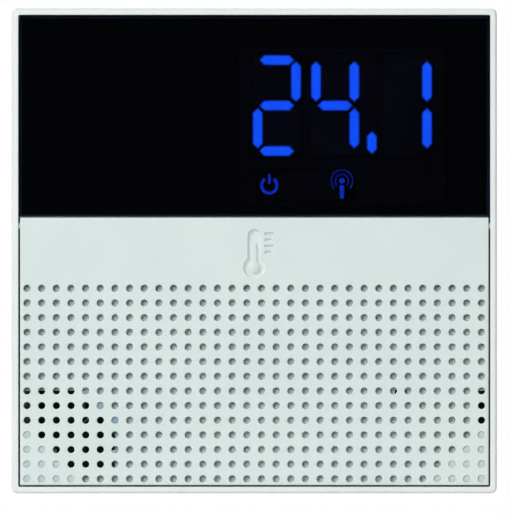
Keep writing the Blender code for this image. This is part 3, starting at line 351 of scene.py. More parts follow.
class Palette:
    """The thermostat's finishes, each named for its real material."""

    # Bright white, half matt: a softened edge with a pale sheen.
    FRAME_ABS = MouldedPlastic("abs_frame_white", "EAF0EE", "E4EBE9", 0.38, grain_depth=0.003 * MM)
    # A little greyer and cooler than the frame, with the eroded grain of a large flat panel.
    COVER_ABS = MouldedPlastic("abs_cover_white", "DDEAE7", "D9E6E4", 0.48)
    # The same plastic unpolished: what shows grey behind the holes.
    INNER_ABS = MouldedPlastic("abs_inner_white", "F0F7F8", "E9F2F4", 0.55, grain=0.6 * MM)
    # Plain moulded white with a visible grain, for the tray that nobody sees.
    BASE_ABS = MouldedPlastic("abs_base_white", "DCE0DD", "D3D8D5", 0.52, grain=0.8 * MM,
                              grain_depth=0.01 * MM)
    # A black sheet on the tray's floor: painted shade that keeps the air window dark.
    SHADE_SHEET = MouldedPlastic("painted_shade_sheet_black", "07080A", "0A0B0D", 0.6)
    BUTTON_ABS = MouldedPlastic("abs_light_blue", "9CD0E6", "8FC6DE", 0.42)
    # The strip along the air window's slanting edge, tinted pale blue.
    STRIP = MouldedPlastic("pale_blue_strip", "C8E2F4", "BEDAEE", 0.7, grain_depth=0.02 * MM)
    # Smoked acrylic: black and mirror-like until a lamp lights behind it.
    LENS = ClearSheet("acrylic_smoked", "6E7890", "6B758C", 0.0)
    # Screen-printed matt black on the mask, and black housings that swallow light.
    MASK_INK = MouldedPlastic("ink_matt_black", "050608", "07080B", 0.62, grain=0.3 * MM)
    BLACK_PC = MouldedPlastic("polycarbonate_black", "0A0B0E", "0D0E12", 0.5)
    # Milky epoxy segments: bright blue where lit, duller at their edges, nearly black where unlit.
    SEGMENT_LIT = LightPipe("epoxy_segment_lit", "0A1030", "0A1030", 0.4, "186AFF", "1048E0", 4.2, 0.4 * MM)
    SEGMENT_EDGE = LightPipe("epoxy_segment_edge", "080C22", "080C22", 0.4, "124CD8", "0C34B0", 3.3, 0.4 * MM)
    SEGMENT_DARK = MouldedPlastic("epoxy_segment_unlit", "08090C", "0A0B0F", 0.35)
    ICON_LIT = LightPipe("epoxy_icon_lit", "080C22", "080C22", 0.4, "123CC8", "0E2EB0", 3.2)
    ICON_DIM = LightPipe("epoxy_icon_dim", "060816", "060816", 0.4, "12269A", "0E1E80", 2.1)
    # Board lacquers over copper tracks.
    BLACK_BOARD = SolderMask("solder_mask_black", "14181C", "222A2E", 0.36)
    GREEN_BOARD = SolderMask("solder_mask_green", "14502E", "2A7646", 0.34)
    # Metals: passivated zinc, tinned can, drawn copper and solder.
    ZINC = BareMetal("steel_zinc_plated", "C4C6C8", "B4B6BA", 0.34)
    TIN = BareMetal("steel_tinned", "D2D2CE", "C6C6C4", 0.30)
    COPPER = BareMetal("copper_drawn", "E09A72", "D08860", 0.28)
    SOLDER = BareMetal("solder_tin", "D8D9DA", "C8CACC", 0.22, grain=0.3 * MM)
    ALUMINIUM = BareMetal("aluminium_drawn", "DADCDE", "CED0D4", 0.3)
    # Electrical mouldings and coatings.
    EPOXY = MouldedPlastic("epoxy_black", "1A1A1D", "202024", 0.36, coat=0.2)
    BLACK_PBT = MouldedPlastic("pbt_black", "16171A", "1C1D21", 0.46)
    GREEN_PA = MouldedPlastic("nylon_green", "2F8A56", "2A7E4E", 0.44)
    YELLOW_FILM = MouldedPlastic("film_box_yellow", "D8B23C", "CCA636", 0.40, coat=0.3)
    RELAY_PBT = MouldedPlastic("pbt_blue", "2A62A6", "265A9A", 0.40)
    BLUE_COATING = MouldedPlastic("phenolic_coating_blue", "2560A2", "1F5490", 0.34, grain=0.8 * MM,
                                  grain_depth=0.03 * MM, coat=0.5)
    GREY_PBT = MouldedPlastic("pbt_grey", "84888C", "7C8084", 0.46)
    SLEEVE = MouldedPlastic("sleeve_shrunk_dark_blue", "141A34", "10152C", 0.26, coat=0.6)
    CERAMIC = MouldedPlastic("ceramic_tan", "B49A78", "A88E6C", 0.5)
    PALE_FLOOR = MouldedPlastic("floor_pale", "E6E6E4", "E2E2E0", 0.7, grain=20 * MM, drift=200 * MM)


# --- Shapes -----------------------------------------------------------------------------------

@dataclass(frozen=True)
class Extent:
    """A box: two x, two z and two depths from the wall."""

    left: float
    right: float
    bottom: float
    top: float
    back: float
    front: float

    @classmethod
    def of(cls, node: str) -> "Extent":
        """The box of a CAD node at rest."""
        low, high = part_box(node)
        return cls(low.x, high.x, low.z, high.z, -high.y, -low.y)

    @classmethod
    def about(cls, x: float, z: float, width: float, height: float, back: float, front: float) -> "Extent":
        """A box about a point of the front view."""
        return cls(x - width / 2, x + width / 2, z - height / 2, z + height / 2, back, front)

    @property
    def x(self) -> float:
        """Its middle, left to right."""
        return (self.left + self.right) / 2

    @property
    def z(self) -> float:
        """Its middle height."""
        return (self.bottom + self.top) / 2

    @property
    def depth(self) -> float:
        """Its middle depth."""
        return (self.back + self.front) / 2

    @property
    def width(self) -> float:
        """Its size along x."""
        return self.right - self.left

    @property
    def height(self) -> float:
        """Its size along z."""
        return self.top - self.bottom

    @property
    def thickness(self) -> float:
        """Its size along the depth."""
        return self.front - self.back

    def grown(self, margin: float) -> "Extent":
        """The box with its four sides moved out, its depths kept."""
        return replace(self, left=self.left - margin, right=self.right + margin,
                       bottom=self.bottom - margin, top=self.top + margin)

    def between(self, back: float, front: float) -> "Extent":
        """The box at other depths."""
        return replace(self, back=back, front=front)


def facing(x: float, z: float, depth: float, turn: float = 0.0) -> Matrix:
    """A placing matrix whose own +Z points at the room, turned about that axis."""
    return (Matrix.Translation((x, -depth, z)) @ Matrix.Rotation(math.pi / 2, 4, "X")
            @ Matrix.Rotation(turn, 4, "Z"))


def bevel(mesh: BMesh, edges: Sequence[BMEdge], offset: float, steps: int) -> None:
    """Rounds edges of a mesh.

    Args:
        mesh: The mesh.
        edges: Its edges to round.
        offset: The rounding's size in metres.
        steps: How many faces it has across.
    """
    bmesh.ops.bevel(
        mesh, geom=list(edges), offset=offset, offset_type="OFFSET", segments=steps, profile=0.5,
        affect="EDGES", material=-1, clamp_overlap=True,
    )


def verts_of(geometry: Sequence) -> list[BMVert]:
    """The vertices among what an operator made."""
    return [item for item in geometry if isinstance(item, BMVert)]


def along_depth(edge: BMEdge) -> bool:
    """Whether an edge runs from the wall towards the room."""
    run = edge.verts[1].co - edge.verts[0].co
    return abs(run.y) > 10 * max(abs(run.x), abs(run.z))


def edges_at(part: BMesh, depth: float) -> list[BMEdge]:
    """The edges that lie at one depth."""
    return [edge for edge in part.edges if all(abs(vert.co.y + depth) < SAME for vert in edge.verts)]


def cuboid(box: Extent) -> BMesh:
    """A mesh of one plain box.

    Args:
        box: Its extent.

    Returns:
        The mesh.
    """
    part = bmesh.new()
    size = Matrix.Diagonal((box.width, box.thickness, box.height, 1))
    bmesh.ops.create_cube(part, size=1, matrix=Matrix.Translation((box.x, -box.depth, box.z)) @ size)
    return part


def lathe(profile: Sequence[Vector], centre: Vector, axis: Vector, sides: int) -> BMesh:
    """Spins a line of points once round an axis.

    Args:
        profile: The points, with both ends on the axis.
        centre: A point on the axis.
        axis: The axis's direction.
        sides: Faces round the axis.

    Returns:
        The closed mesh.
    """
    part = bmesh.new()
    line = [part.verts.new(point) for point in profile]
    edges = [part.edges.new(pair) for pair in zip(line, line[1:])]
    bmesh.ops.spin(part, geom=line + edges, cent=centre, axis=axis, angle=2 * math.pi, steps=sides,
                   use_merge=True)
    bmesh.ops.remove_doubles(part, verts=part.verts[:], dist=SAME)
    return part


def spaced(middle: float, count: int, pitch: float) -> list[float]:
    """Evenly spaced places about a middle."""
    return [middle + (number - (count - 1) / 2) * pitch for number in range(count)]


class Form:
    """A mesh under construction. Each new stretch gets the finish number that is set at the time."""

    def __init__(self) -> None:
        """Starts with an empty mesh."""
        self.mesh: BMesh = bmesh.new()
        self.finish = 0

    def painted(self, finish: int) -> "Form":
        """Sets the finish number of what is added next."""
        self.finish = finish
        return self

    def absorb(self, part: BMesh, keep_finish: bool = False) -> "Form":
        """Takes a finished part into this mesh.

        Args:
            part: A closed bmesh, which is freed.
            keep_finish: Whether its faces keep the finish numbers that they have.

        Returns:
            This form.
        """
        bmesh.ops.recalc_face_normals(part, faces=part.faces[:])
        for face in part.faces:
            face.smooth = True
            if not keep_finish:
                face.material_index = self.finish
        data = bpy.data.meshes.new("part")
        part.to_mesh(data)
        part.free()
        self.mesh.from_mesh(data)
        bpy.data.meshes.remove(data)
        return self

    def block(self, box: Extent, rounding: float = 0.0, steps: int = 2) -> "Form":
        """Adds a box with rounded edges.

        Args:
            box: Its extent.
            rounding: Size of the rounding.
            steps: Faces across the rounding.

        Returns:
            This form.
        """
        part = cuboid(box)
        if rounding:
            bevel(part, part.edges[:], rounding, steps)
        return self.absorb(part)

    def slab(self, box: Extent, corner: float, corner_steps: int = 6, front: float = 0.0,
             back: float = 0.0, steps: int = 3) -> "Form":
        """Adds a plate with round corners in the front view and rounded front and back rims.

        Args:
            box: Its extent.
            corner: Radius of the four corners.
            corner_steps: Faces round each corner.
            front: Rounding of the front rim.
            back: Rounding of the back rim.
            steps: Faces across a rim's rounding.

        Returns:
            This form.
        """
        part = cuboid(box)
        bevel(part, [edge for edge in part.edges if along_depth(edge)], corner, corner_steps)
        for depth, rounding in ((box.front, front), (box.back, back)):
            if rounding:
                bevel(part, edges_at(part, depth), rounding, steps)
        return self.absorb(part)

    def prism(self, outline: Sequence[tuple[float, float]], back: float, front: float) -> "Form":
        """Adds an outline between two depths.

        Args:
            outline: Its (x, z) points.
            back: Its rear depth.
            front: Its front depth.

        Returns:
            This form.
        """
        part = bmesh.new()
        face = part.faces.new([part.verts.new((x, -back, z)) for x, z in outline])
        grown = bmesh.ops.extrude_face_region(part, geom=[face])["geom"]
        bmesh.ops.translate(part, verts=verts_of(grown), vec=(0, back - front, 0))
        return self.absorb(part)

    def post(self, x: float, z: float, back: float, front: float, radius: float, sides: int = 24,
             rounding: float = 0.0) -> "Form":
        """Adds a round bar that points at the room.

        Args:
            x: Its axis, left to right.
            z: Its axis's height.
            back: Its rear depth.
            front: Its front depth.
            radius: Its radius.
            sides: Faces round it.
            rounding: Rounding of its front rim.

        Returns:
            This form.
        """
        part = bmesh.new()
        bmesh.ops.create_cone(part, cap_ends=True, segments=sides, radius1=radius, radius2=radius,
                              depth=front - back, matrix=facing(x, z, (back + front) / 2))
        if rounding:
            bevel(part, edges_at(part, front), rounding, 3)
        return self.absorb(part)

    def rod(self, start: Vector, end: Vector, radius: float, sides: int = 12,
            rounding: float = 0.0) -> "Form":
        """Adds a round bar between two points.

        Args:
            start: The middle of one end.
            end: The middle of the other.
            radius: Its radius.
            sides: Faces round it.
            rounding: Rounding of both ends.

        Returns:
            This form.
        """
        part = bmesh.new()
        run = end - start
        turn = Vector((0, 0, 1)).rotation_difference(run).to_matrix().to_4x4()
        bmesh.ops.create_cone(part, cap_ends=True, segments=sides, radius1=radius, radius2=radius,
                              depth=run.length, matrix=Matrix.Translation((start + end) / 2) @ turn)
        if rounding:
            ends = {edge for face in part.faces if len(face.verts) == sides for edge in face.edges}
            bevel(part, [edge for edge in part.edges if edge in ends], rounding, 3)
        return self.absorb(part)

    def turned(self, x: float, z: float, profile: Sequence[tuple[float, float]], sides: int = 32) -> "Form":
        """Adds a piece turned about an axis that points at the room.

        Args:
            x: The axis's place, left to right.
            z: The axis's height.
            profile: (radius, depth) points from one end to the other, both ends on the axis.
            sides: Faces round the axis.

        Returns:
            This form.
        """
        points = [Vector((x + radius, -depth, z)) for radius, depth in profile]
        return self.absorb(lathe(points, Vector((x, 0, z)), Vector((0, 1, 0)), sides))

    def dot(self, x: float, z: float, face: float, end: float, radius: float, sides: int = 16,
            end_radius: float | None = None) -> "Form":
        """Adds a flat round pad that stands off a face.

        Args:
            x: Its middle, left to right.
            z: Its middle height.
            face: The face's depth.
            end: The pad's outer depth.
            radius: Its radius at the face.
            sides: Faces round it.
            end_radius: Its radius at the outer end, if that differs.

        Returns:
            This form.
        """
        outer = radius if end_radius is None else end_radius
        return self.turned(x, z, [(0, face), (radius, face), (outer, end), (0, end)], sides)

    def arc(self, x: float, z: float, radius: float, stroke: float, start: float, sweep: float,
            back: float, front: float, steps: int = 20) -> "Form":
        """Adds a flat curved bar in the front view.

        Args:
            x: Its centre, left to right.
            z: Its centre's height.
            radius: To the middle of the bar.
            stroke: The bar's width.
            start: The angle where it starts, anticlockwise from +X.
            sweep: How far it runs.
            back: Its rear depth.
            front: Its front depth.
            steps: Faces along it.

        Returns:
            This form.
        """
        part = bmesh.new()
        corners = [(radius - stroke / 2, back), (radius + stroke / 2, back),
                   (radius + stroke / 2, front), (radius - stroke / 2, front)]
        section = part.faces.new([part.verts.new((x + reach, -depth, z)) for reach, depth in corners])
        bmesh.ops.rotate(part, verts=section.verts[:], cent=(x, 0, z),
                         matrix=Matrix.Rotation(-start, 3, "Y"))
        around = section.verts[:] + section.edges[:] + [section]
        bmesh.ops.spin(part, geom=around, cent=(x, 0, z), axis=(0, -1, 0), angle=sweep, steps=steps)
        return self.absorb(part)

    def coil(self, centre: Vector, axis: Vector, radius: float, wire: float, turns: int,
             pitch: float) -> "Form":
        """Adds a wound wire: a small ring spun round an axis while it climbs along it.

        Args:
            centre: Where the axis starts.
            axis: The way that it climbs.
            radius: From the axis to the middle of the wire.
            wire: The wire's radius.
            turns: How many times it goes round.
            pitch: The climb of one turn.

        Returns:
            This form.
        """
        steps = 24
        part = bmesh.new()
        axis = axis.normalized()
        outward = axis.orthogonal().normalized()
        look = axis.cross(outward)
        turn = Vector((0, 0, 1)).rotation_difference(look).to_matrix().to_4x4()
        made = bmesh.ops.create_circle(part, cap_ends=True, segments=8, radius=wire,
                                       matrix=Matrix.Translation(centre + outward * radius) @ turn)
        section = {face for vert in made["verts"] for face in vert.link_faces}
        rim = {edge for face in section for edge in face.edges}
        bmesh.ops.spin(part, geom=made["verts"] + list(rim) + list(section), cent=centre, axis=axis,
                       dvec=axis * (pitch / steps), angle=2 * math.pi * turns, steps=steps * turns)
        return self.absorb(part)

    def cad(self, node: str, rounding: float = 0.0, steps: int = 2) -> "Form":
        """Adds a copy of a CAD node with its flat faces joined up and its edges rounded.

        Args:
            node: The CAD node.
            rounding: Size of the rounding.
            steps: Faces across the rounding.

        Returns:
            This form.
        """
        part = bmesh.new()
        part.from_mesh(frame["nodes"][node].data)
        bmesh.ops.remove_doubles(part, verts=part.verts[:], dist=SAME)
        bmesh.ops.dissolve_limit(part, angle_limit=math.radians(1), verts=part.verts[:],
                                 edges=part.edges[:])
        sharp = [edge for edge in part.edges
                 if len(edge.link_faces) == 2 and edge.calc_face_angle(0) > math.radians(CREASE)]
        if rounding:
            bevel(part, sharp, rounding, steps)
        return self.absorb(part)

    def scratch(self, name: str) -> bpy.types.Object:
        """Makes a passing object that holds a copy of this mesh.

        Args:
            name: Its name.

        Returns:
            The object.
        """
        data = bpy.data.meshes.new(name)
        self.mesh.to_mesh(data)
        for number in range(max([face.material_index for face in self.mesh.faces], default=0) + 1):
            data.materials.append(None)
        made = bpy.data.objects.new(name, data)
        bpy.context.scene.collection.objects.link(made)
        return made

    def combine(self, tool: "Form", how: Join) -> "Form":
        """Adds or cuts away a second form, which is used up.

        Args:
            tool: The second form.
            how: Whether it is added or cut away.

        Returns:
            This form.
        """
        pair = [self.scratch("first"), tool.scratch("second")]
        modifier = pair[0].modifiers.new("combine", "BOOLEAN")
        modifier.operation = how.value
        modifier.solver = "EXACT"
        modifier.object = pair[1]
        graph = bpy.context.evaluated_depsgraph_get()
        result = bpy.data.meshes.new_from_object(pair[0].evaluated_get(graph))
        self.mesh.clear()
        self.mesh.from_mesh(result)
        tool.mesh.free()
        for data in [result] + [made.data for made in pair]:
            bpy.data.meshes.remove(data)
        return self

    def place(self, name: str, node: str, slot: str, finishes: Sequence[Finish],
              body: Body = Body.HOUSING, crease: float = CREASE) -> None:
        """Turns the form into a finished piece that rides on a body.

        Args:
            name: The piece's name.
            node: The CAD node that it replaces.
            slot: The record's material slot; not used.
            finishes: Its finishes, by their numbers.
            body: What it moves with.
            crease: The bend in degrees past which an edge is shaded sharp.
        """
        data = bpy.data.meshes.new(name)
        self.mesh.to_mesh(data)
        self.mesh.free()
        for finish in finishes:
            data.materials.append(finish.material())
        data.shade_smooth()
        data.set_sharp_from_angle(angle=math.radians(crease))
        made = bpy.data.objects.new(name, data)
        bpy.context.scene.collection.objects.link(made)
        made.modifiers.new("flat_faces", "WEIGHTED_NORMAL").keep_sharp = True
        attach(made, body.value)
        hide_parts(node)
        LOG.info("%s: %d faces on %s", name, len(data.polygons), body.value)


def joint_place(name: str) -> tuple[float, float, float]:
    """A point on a joint's axis."""
    return next(joint["pos_m"] for joint in frame["joints"] if joint["name"] == name)


def corners(x: float, z: float) -> list[tuple[float, float]]:
    """The four points at these distances from the middle."""
    return [(side_x * x, side_z * z) for side_x in (-1, 1) for side_z in (1, -1)]


# --- Front frame ------------------------------------------------------------------------------

@dataclass
class FrontFrame:
    """The square white sleeve round the display and the cover."""

    corner: float = 1.0 * MM
    edge: float = 0.38 * MM
    inner_edge: float = 0.12 * MM
    wall: float = 1.15 * MM
    hole_corner: float = 0.3 * MM
    boss: float = 6.6 * MM              # how far a corner block reaches in
    boss_depth: float = 6.0 * MM
    screw_clearance: float = 1.3 * MM   # between a corner block's front and its screw's end
    screw_hole: float = 1.2 * MM
    hinge_hole: float = 0.9 * MM
    snap: float = 10.0 * MM             # length of a snap ridge
    snap_offset: float = 21.5 * MM
    ledge: float = 10.6 * MM            # depth of the ledge that keeps light and dust out behind
    ledge_thickness: float = 0.9 * MM
    ledge_reach: float = 2.4 * MM

    def blocks(self, inside: Extent, front: float) -> Form:
        """The corner blocks that the chassis is screwed to.

        Args:
            inside: The sleeve's opening.
            front: The blocks' front depth.

        Returns:
            All four.
        """
        form = Form()
        middle = (self.boss - self.wall / 2) / 2
        size = self.boss + self.wall / 2
        for x, z in corners(inside.right - middle, inside.top - middle):
            form.block(Extent.about(x, z, size, size, front - self.boss_depth, front), 0.25 * MM)
        return form

    def openings(self, box: Extent, inside: Extent, front: float) -> Form:
        """The tool for the screw holes, the hinge sockets and the release slot.

        Args:
            box: The sleeve.
            inside: Its opening.
            front: The corner blocks' front depth.

        Returns:
            The tool.
        """
        form = Form()
        screw = Extent.of("corner_screw_1")
        for x, z in corners(abs(screw.x), abs(screw.z)):
            form.post(x, z, front - self.boss_depth - 2 * MM, front + MM, self.screw_hole)
        socket = Extent.of("grille_cover").right + 0.3 * MM
        _, y, z = joint_place("cover_hinge")
        for side in (-1, 1):
            ends = [Vector((side * reach, y, z)) for reach in (inside.right - MM, socket)]
            form.rod(*ends, self.hinge_hole)
        return form.block(Extent.about(0, box.bottom, 6 * MM, 4 * self.wall, 5.0 * MM, 6.6 * MM), 0.3 * MM)

    def build(self) -> None:
        """Makes the sleeve with its corner blocks, snap ridges, hinge sockets and release slot."""
        box = Extent.of("front_frame")
        inside = box.grown(-self.wall)
        form = Form().slab(box, self.corner, 8, front=self.edge, back=self.inner_edge, steps=4)
        hole = Form().slab(inside.between(box.back - MM, box.front + MM), self.hole_corner, 3)
        form.combine(hole, Join.CUT)
        lip = [edge for edge in edges_at(form.mesh, box.front)
               if all(max(abs(vert.co.x) - inside.right, abs(vert.co.z) - inside.top) < SAME
                      for vert in edge.verts)]
        bevel(form.mesh, lip, self.inner_edge, 2)
        front = Extent.of("corner_screw_1").front - self.screw_clearance
        form.combine(self.blocks(inside, front), Join.ADD)
        form.combine(self.openings(box, inside, front), Join.CUT)
        for x, z in ((-self.snap_offset, inside.top), (self.snap_offset, inside.top), (0, inside.bottom)):
            low, high = sorted((z - math.copysign(0.6 * MM, z), z + math.copysign(0.3 * MM, z)))
            form.block(Extent(x - self.snap / 2, x + self.snap / 2, low, high, 4 * MM, 5 * MM), 0.25 * MM)
        depths = (self.ledge, self.ledge + self.ledge_thickness)
        ledge = Form().block(inside.grown(0.2 * MM).between(*depths))
        well = inside.grown(-self.ledge_reach).between(box.back, box.front)
        form.absorb(ledge.combine(Form().slab(well, MM, 3), Join.CUT).mesh)
        form.place("front_frame_sleeve", "front_frame", "frame_white", [Palette.FRAME_ABS])


# --- Cover ------------------------------------------------------------------------------------

@dataclass
class GrilleCover:
    """The perforated cover with its sunk thermometer mark."""

    pitch: float = 2.6 * MM
    columns: int = 32
    rows: int = 14
    hole: float = 0.63 * MM
    rim: float = 0.73 * MM
    rim_depth: float = 0.12 * MM
    sides: int = 16
    plate: float = 0.5 * MM
    first_row: float = 1.1 * MM         # above the cover's bottom edge
    edge: float = 0.26 * MM
    mark_drop: float = 6.0 * MM         # from the cover's top to the middle of the thermometer's rise
    bulb: float = 1.7 * MM
    tube: float = 0.95 * MM
    rise: float = 5.6 * MM
    sunk: float = 0.34 * MM
    slope: float = 0.8                  # of the sides of the sunk mark
    level_pitch: float = 1.1 * MM
    first_level: float = 2.6 * MM       # above the bulb's middle
    short_level: float = 0.7 * MM
    long_level: float = 1.2 * MM
    level_width: float = 0.12 * MM
    drop: float = 1.05 * MM             # radius of the raised drop in the bulb
    column: float = 0.42 * MM           # half of the raised column's width
    raised: float = 0.06 * MM           # the drop and the column stop this far below the surface
    moulded: float = 0.7 * MM           # depth of the plate with its stiffening rim
    stiffener: float = 0.55 * MM
    trunnion: float = 0.58 * MM

    def ring(self, mesh: BMesh, x: float, z: float, depth: float, radius: float, sides: int,
             turn: float = 0.0) -> list[BMEdge]:
        """Adds a bare ring of edges that faces the room.

        Args:
            mesh: The mesh that it goes in.
            x: Its middle, left to right.
            z: Its middle height.
            depth: Its depth.
            radius: From its middle to its corners.
            sides: How many edges it has.
            turn: Its turn about its own middle.

        Returns:
            Its edges.
        """
        before = set(mesh.edges)
        bmesh.ops.create_circle(mesh, cap_ends=False, segments=sides, radius=radius,
                                matrix=facing(x, z, depth, turn))
        return [edge for edge in mesh.edges if edge not in before]

    def cell(self, mesh: BMesh, x: float, z: float, box: Extent) -> None:
        """Adds one hole with its rounded rim and its square of plate, front and back.

        The squares are joined to the circles while they stand apart, so that the rings pair up the
        right way round, and are then pressed flat.

        Args:
            mesh: The plate.
            x: The hole's middle, left to right.
            z: Its middle height.
            box: The cover's extent.
        """
        plate_back = box.front - self.plate
        rings = []
        for depth in (box.front + MM, plate_back - MM):
            before = set(mesh.edges)
            square = self.ring(mesh, x, z, depth, self.pitch / math.sqrt(2), 4, math.pi / 4)
            bmesh.ops.subdivide_edges(mesh, edges=square, cuts=self.sides // 4 - 1)
            rings.append([edge for edge in mesh.edges if edge not in before])
        circles = [
            self.ring(mesh, x, z, depth, radius, self.sides)
            for depth, radius in ((box.front, self.rim), (box.front - self.rim_depth, self.hole),
                                  (plate_back, self.hole))
        ]
        order = [rings[0], *circles, rings[1]]
        for first, second in zip(order, order[1:]):
            bmesh.ops.bridge_loops(mesh, edges=first + second)
        for square, push in zip(rings, (MM, -MM)):
            corners_of = list({vert for edge in square for vert in edge.verts})
            bmesh.ops.translate(mesh, verts=corners_of, vec=(0, push, 0))

    def perforated(self, box: Extent) -> BMesh:
        """Repeats the cell over the plate and closes the plate's outline.

        Args:
            box: The cover's extent.

        Returns:
            The closed plate, with square outer edges.
        """
        mesh = bmesh.new()
        left = -(self.columns - 1) / 2 * self.pitch
        bottom = box.bottom + self.first_row
        self.cell(mesh, left, bottom, box)
        for count, step in ((self.columns, (self.pitch, 0, 0)), (self.rows, (0, 0, self.pitch))):
            single = mesh.verts[:] + mesh.edges[:] + mesh.faces[:]
            for number in range(1, count):
                copy = bmesh.ops.duplicate(mesh, geom=single)
                bmesh.ops.translate(mesh, verts=verts_of(copy["geom"]), vec=Vector(step) * number)
        bmesh.ops.remove_doubles(mesh, verts=mesh.verts[:], dist=HAIR / 2)
        for point, normal in (((box.left, 0, 0), (-1, 0, 0)), ((box.right, 0, 0), (1, 0, 0)),
                              ((0, 0, box.bottom), (0, 0, -1))):
            bmesh.ops.bisect_plane(mesh, geom=mesh.verts[:] + mesh.edges[:] + mesh.faces[:],
                                   dist=SAME, plane_co=point, plane_no=normal, clear_outer=True)
        line = bottom + (self.rows - 0.5) * self.pitch
        top = [edge for edge in mesh.edges if edge.is_boundary
               and all(abs(vert.co.z - line) < HAIR for vert in edge.verts)]
        band = bmesh.ops.extrude_edge_only(mesh, edges=top)
        bmesh.ops.translate(mesh, verts=verts_of(band["geom"]), vec=(0, 0, box.top - line))
        outline = [edge for edge in mesh.edges if edge.is_boundary
                   and all(abs(vert.co.y + box.front) < HAIR for vert in edge.verts)]
        sides = bmesh.ops.extrude_edge_only(mesh, edges=outline)
        bmesh.ops.translate(mesh, verts=verts_of(sides["geom"]), vec=(0, self.plate, 0))
        bmesh.ops.remove_doubles(mesh, verts=mesh.verts[:], dist=HAIR / 2)
        bmesh.ops.recalc_face_normals(mesh, faces=mesh.faces[:])
        return mesh

    def soften(self, mesh: BMesh, box: Extent) -> None:
        """Rounds the plate's outer front edge and its four corners.

        Args:
            mesh: The plate.
            box: The cover's extent.
        """
        def on_rim(vert: BMVert) -> bool:
            """Whether a vertex is on the plate's outline."""
            return (abs(abs(vert.co.x) - box.right) < HAIR or abs(vert.co.z - box.top) < HAIR
                    or abs(vert.co.z - box.bottom) < HAIR)
        outer = [edge for edge in mesh.edges if all(on_rim(vert) for vert in edge.verts)
                 and edge.calc_face_angle(0) > math.radians(80)
                 and (along_depth(edge) or abs(edge.verts[0].co.y + box.front) < HAIR)]
        bevel(mesh, outer, self.edge, 3)

    def groove(self, ends: Sequence[tuple[float, float]], radius: float, box: Extent) -> Form:
        """A tool for a round-ended groove whose sides slope out towards the room.

        Args:
            ends: The (x, z) middles of its ends, or a single one for a round dish.
            radius: Half of its width at its floor.
            box: The cover's extent.

        Returns:
            The tool.
        """
        part = bmesh.new()
        floor, mouth = box.front - self.sunk, box.front + 0.1 * MM
        for x, z in ends:
            for depth in (floor, mouth):
                self.ring(part, x, z, depth, radius + self.slope * (depth - floor), 24)
        hull = bmesh.ops.convex_hull(part, input=part.verts[:])
        inside = verts_of(hull["geom_interior"] + hull["geom_unused"])
        bmesh.ops.delete(part, geom=inside, context="VERTS")
        bmesh.ops.dissolve_limit(part, angle_limit=math.radians(1), verts=part.verts[:], edges=part.edges[:])
        return Form().absorb(part)

    def mark(self, box: Extent) -> Form:
        """The tool for the sunk mark: a thermometer's outline with four level marks beside it.

        Args:
            box: The cover's extent.

        Returns:
            The tool.
        """
        z = self.bulb_middle(box)
        tool = self.groove([(0, z)], self.bulb, box)
        tool.combine(self.groove([(0, z), (0, z + self.rise)], self.tube, box), Join.ADD)
        start = self.tube + 1.1 * MM
        for level in range(4):
            end = start + (self.long_level if level % 2 else self.short_level)
            height = z + self.first_level + self.level_pitch * level
            tool.absorb(self.groove([(start, height), (end, height)], self.level_width / 2, box).mesh)
        return tool

    def bulb_middle(self, box: Extent) -> float:
        """The height of the middle of the thermometer's bulb."""
        return box.top - self.mark_drop - self.rise / 2

    def build(self) -> None:
        """Makes the cover: plate, mark, stiffening rim behind and the two trunnions."""
        lens = Extent.of("display_lens")
        box = replace(Extent.of("grille_cover"), left=lens.left, right=lens.right)
        mesh = self.perforated(box)
        self.soften(mesh, box)
        form = Form().absorb(mesh)
        form.combine(self.mark(box), Join.CUT)
        z = self.bulb_middle(box)
        raised = box.front - self.raised
        back = box.front - self.plate
        form.turned(0, z, [(0, back + HAIR), (self.drop, back + HAIR), (self.drop, raised - 0.1 * MM),
                           (self.drop - 0.15 * MM, raised), (0, raised)])
        column = Extent(-self.column, self.column, z + 0.7 * MM, z + 4.3 * MM, back + 2 * HAIR,
                        raised - 3 * HAIR)
        form.slab(column, self.column - 0.02 * MM, 5, front=0.1 * MM, steps=2)
        for edges in ((box.left, box.left + self.stiffener, box.bottom, box.top),
                      (box.right - self.stiffener, box.right, box.bottom, box.top),
                      (box.left, box.right, box.top - self.stiffener, box.top)):
            form.block(Extent(*edges, box.front - self.moulded, back + 0.1 * MM), 0.05 * MM)
        _, y, hinge_z = joint_place("cover_hinge")
        for side in (-1, 1):
            ends = [Vector((side * (box.right + reach), y, hinge_z)) for reach in (-1.2 * MM, 0.6 * MM)]
            form.rod(*ends, self.trunnion, 20, 0.1 * MM)
        form.place("grille_cover_panel", "grille_cover", "cover_white", [Palette.COVER_ABS], Body.COVER,
                   crease=35)


# --- Display ----------------------------------------------------------------------------------

class Segment(Enum):
    """The seven bars of a figure: (column, row, upright), each column and row -1, 0 or 1."""

    TOP = (0, 1, False)
    MIDDLE = (0, 0, False)
    BOTTOM = (0, -1, False)
    UPPER_LEFT = (-1, 1, True)
    UPPER_RIGHT = (1, 1, True)
    LOWER_LEFT = (-1, -1, True)
    LOWER_RIGHT = (1, -1, True)


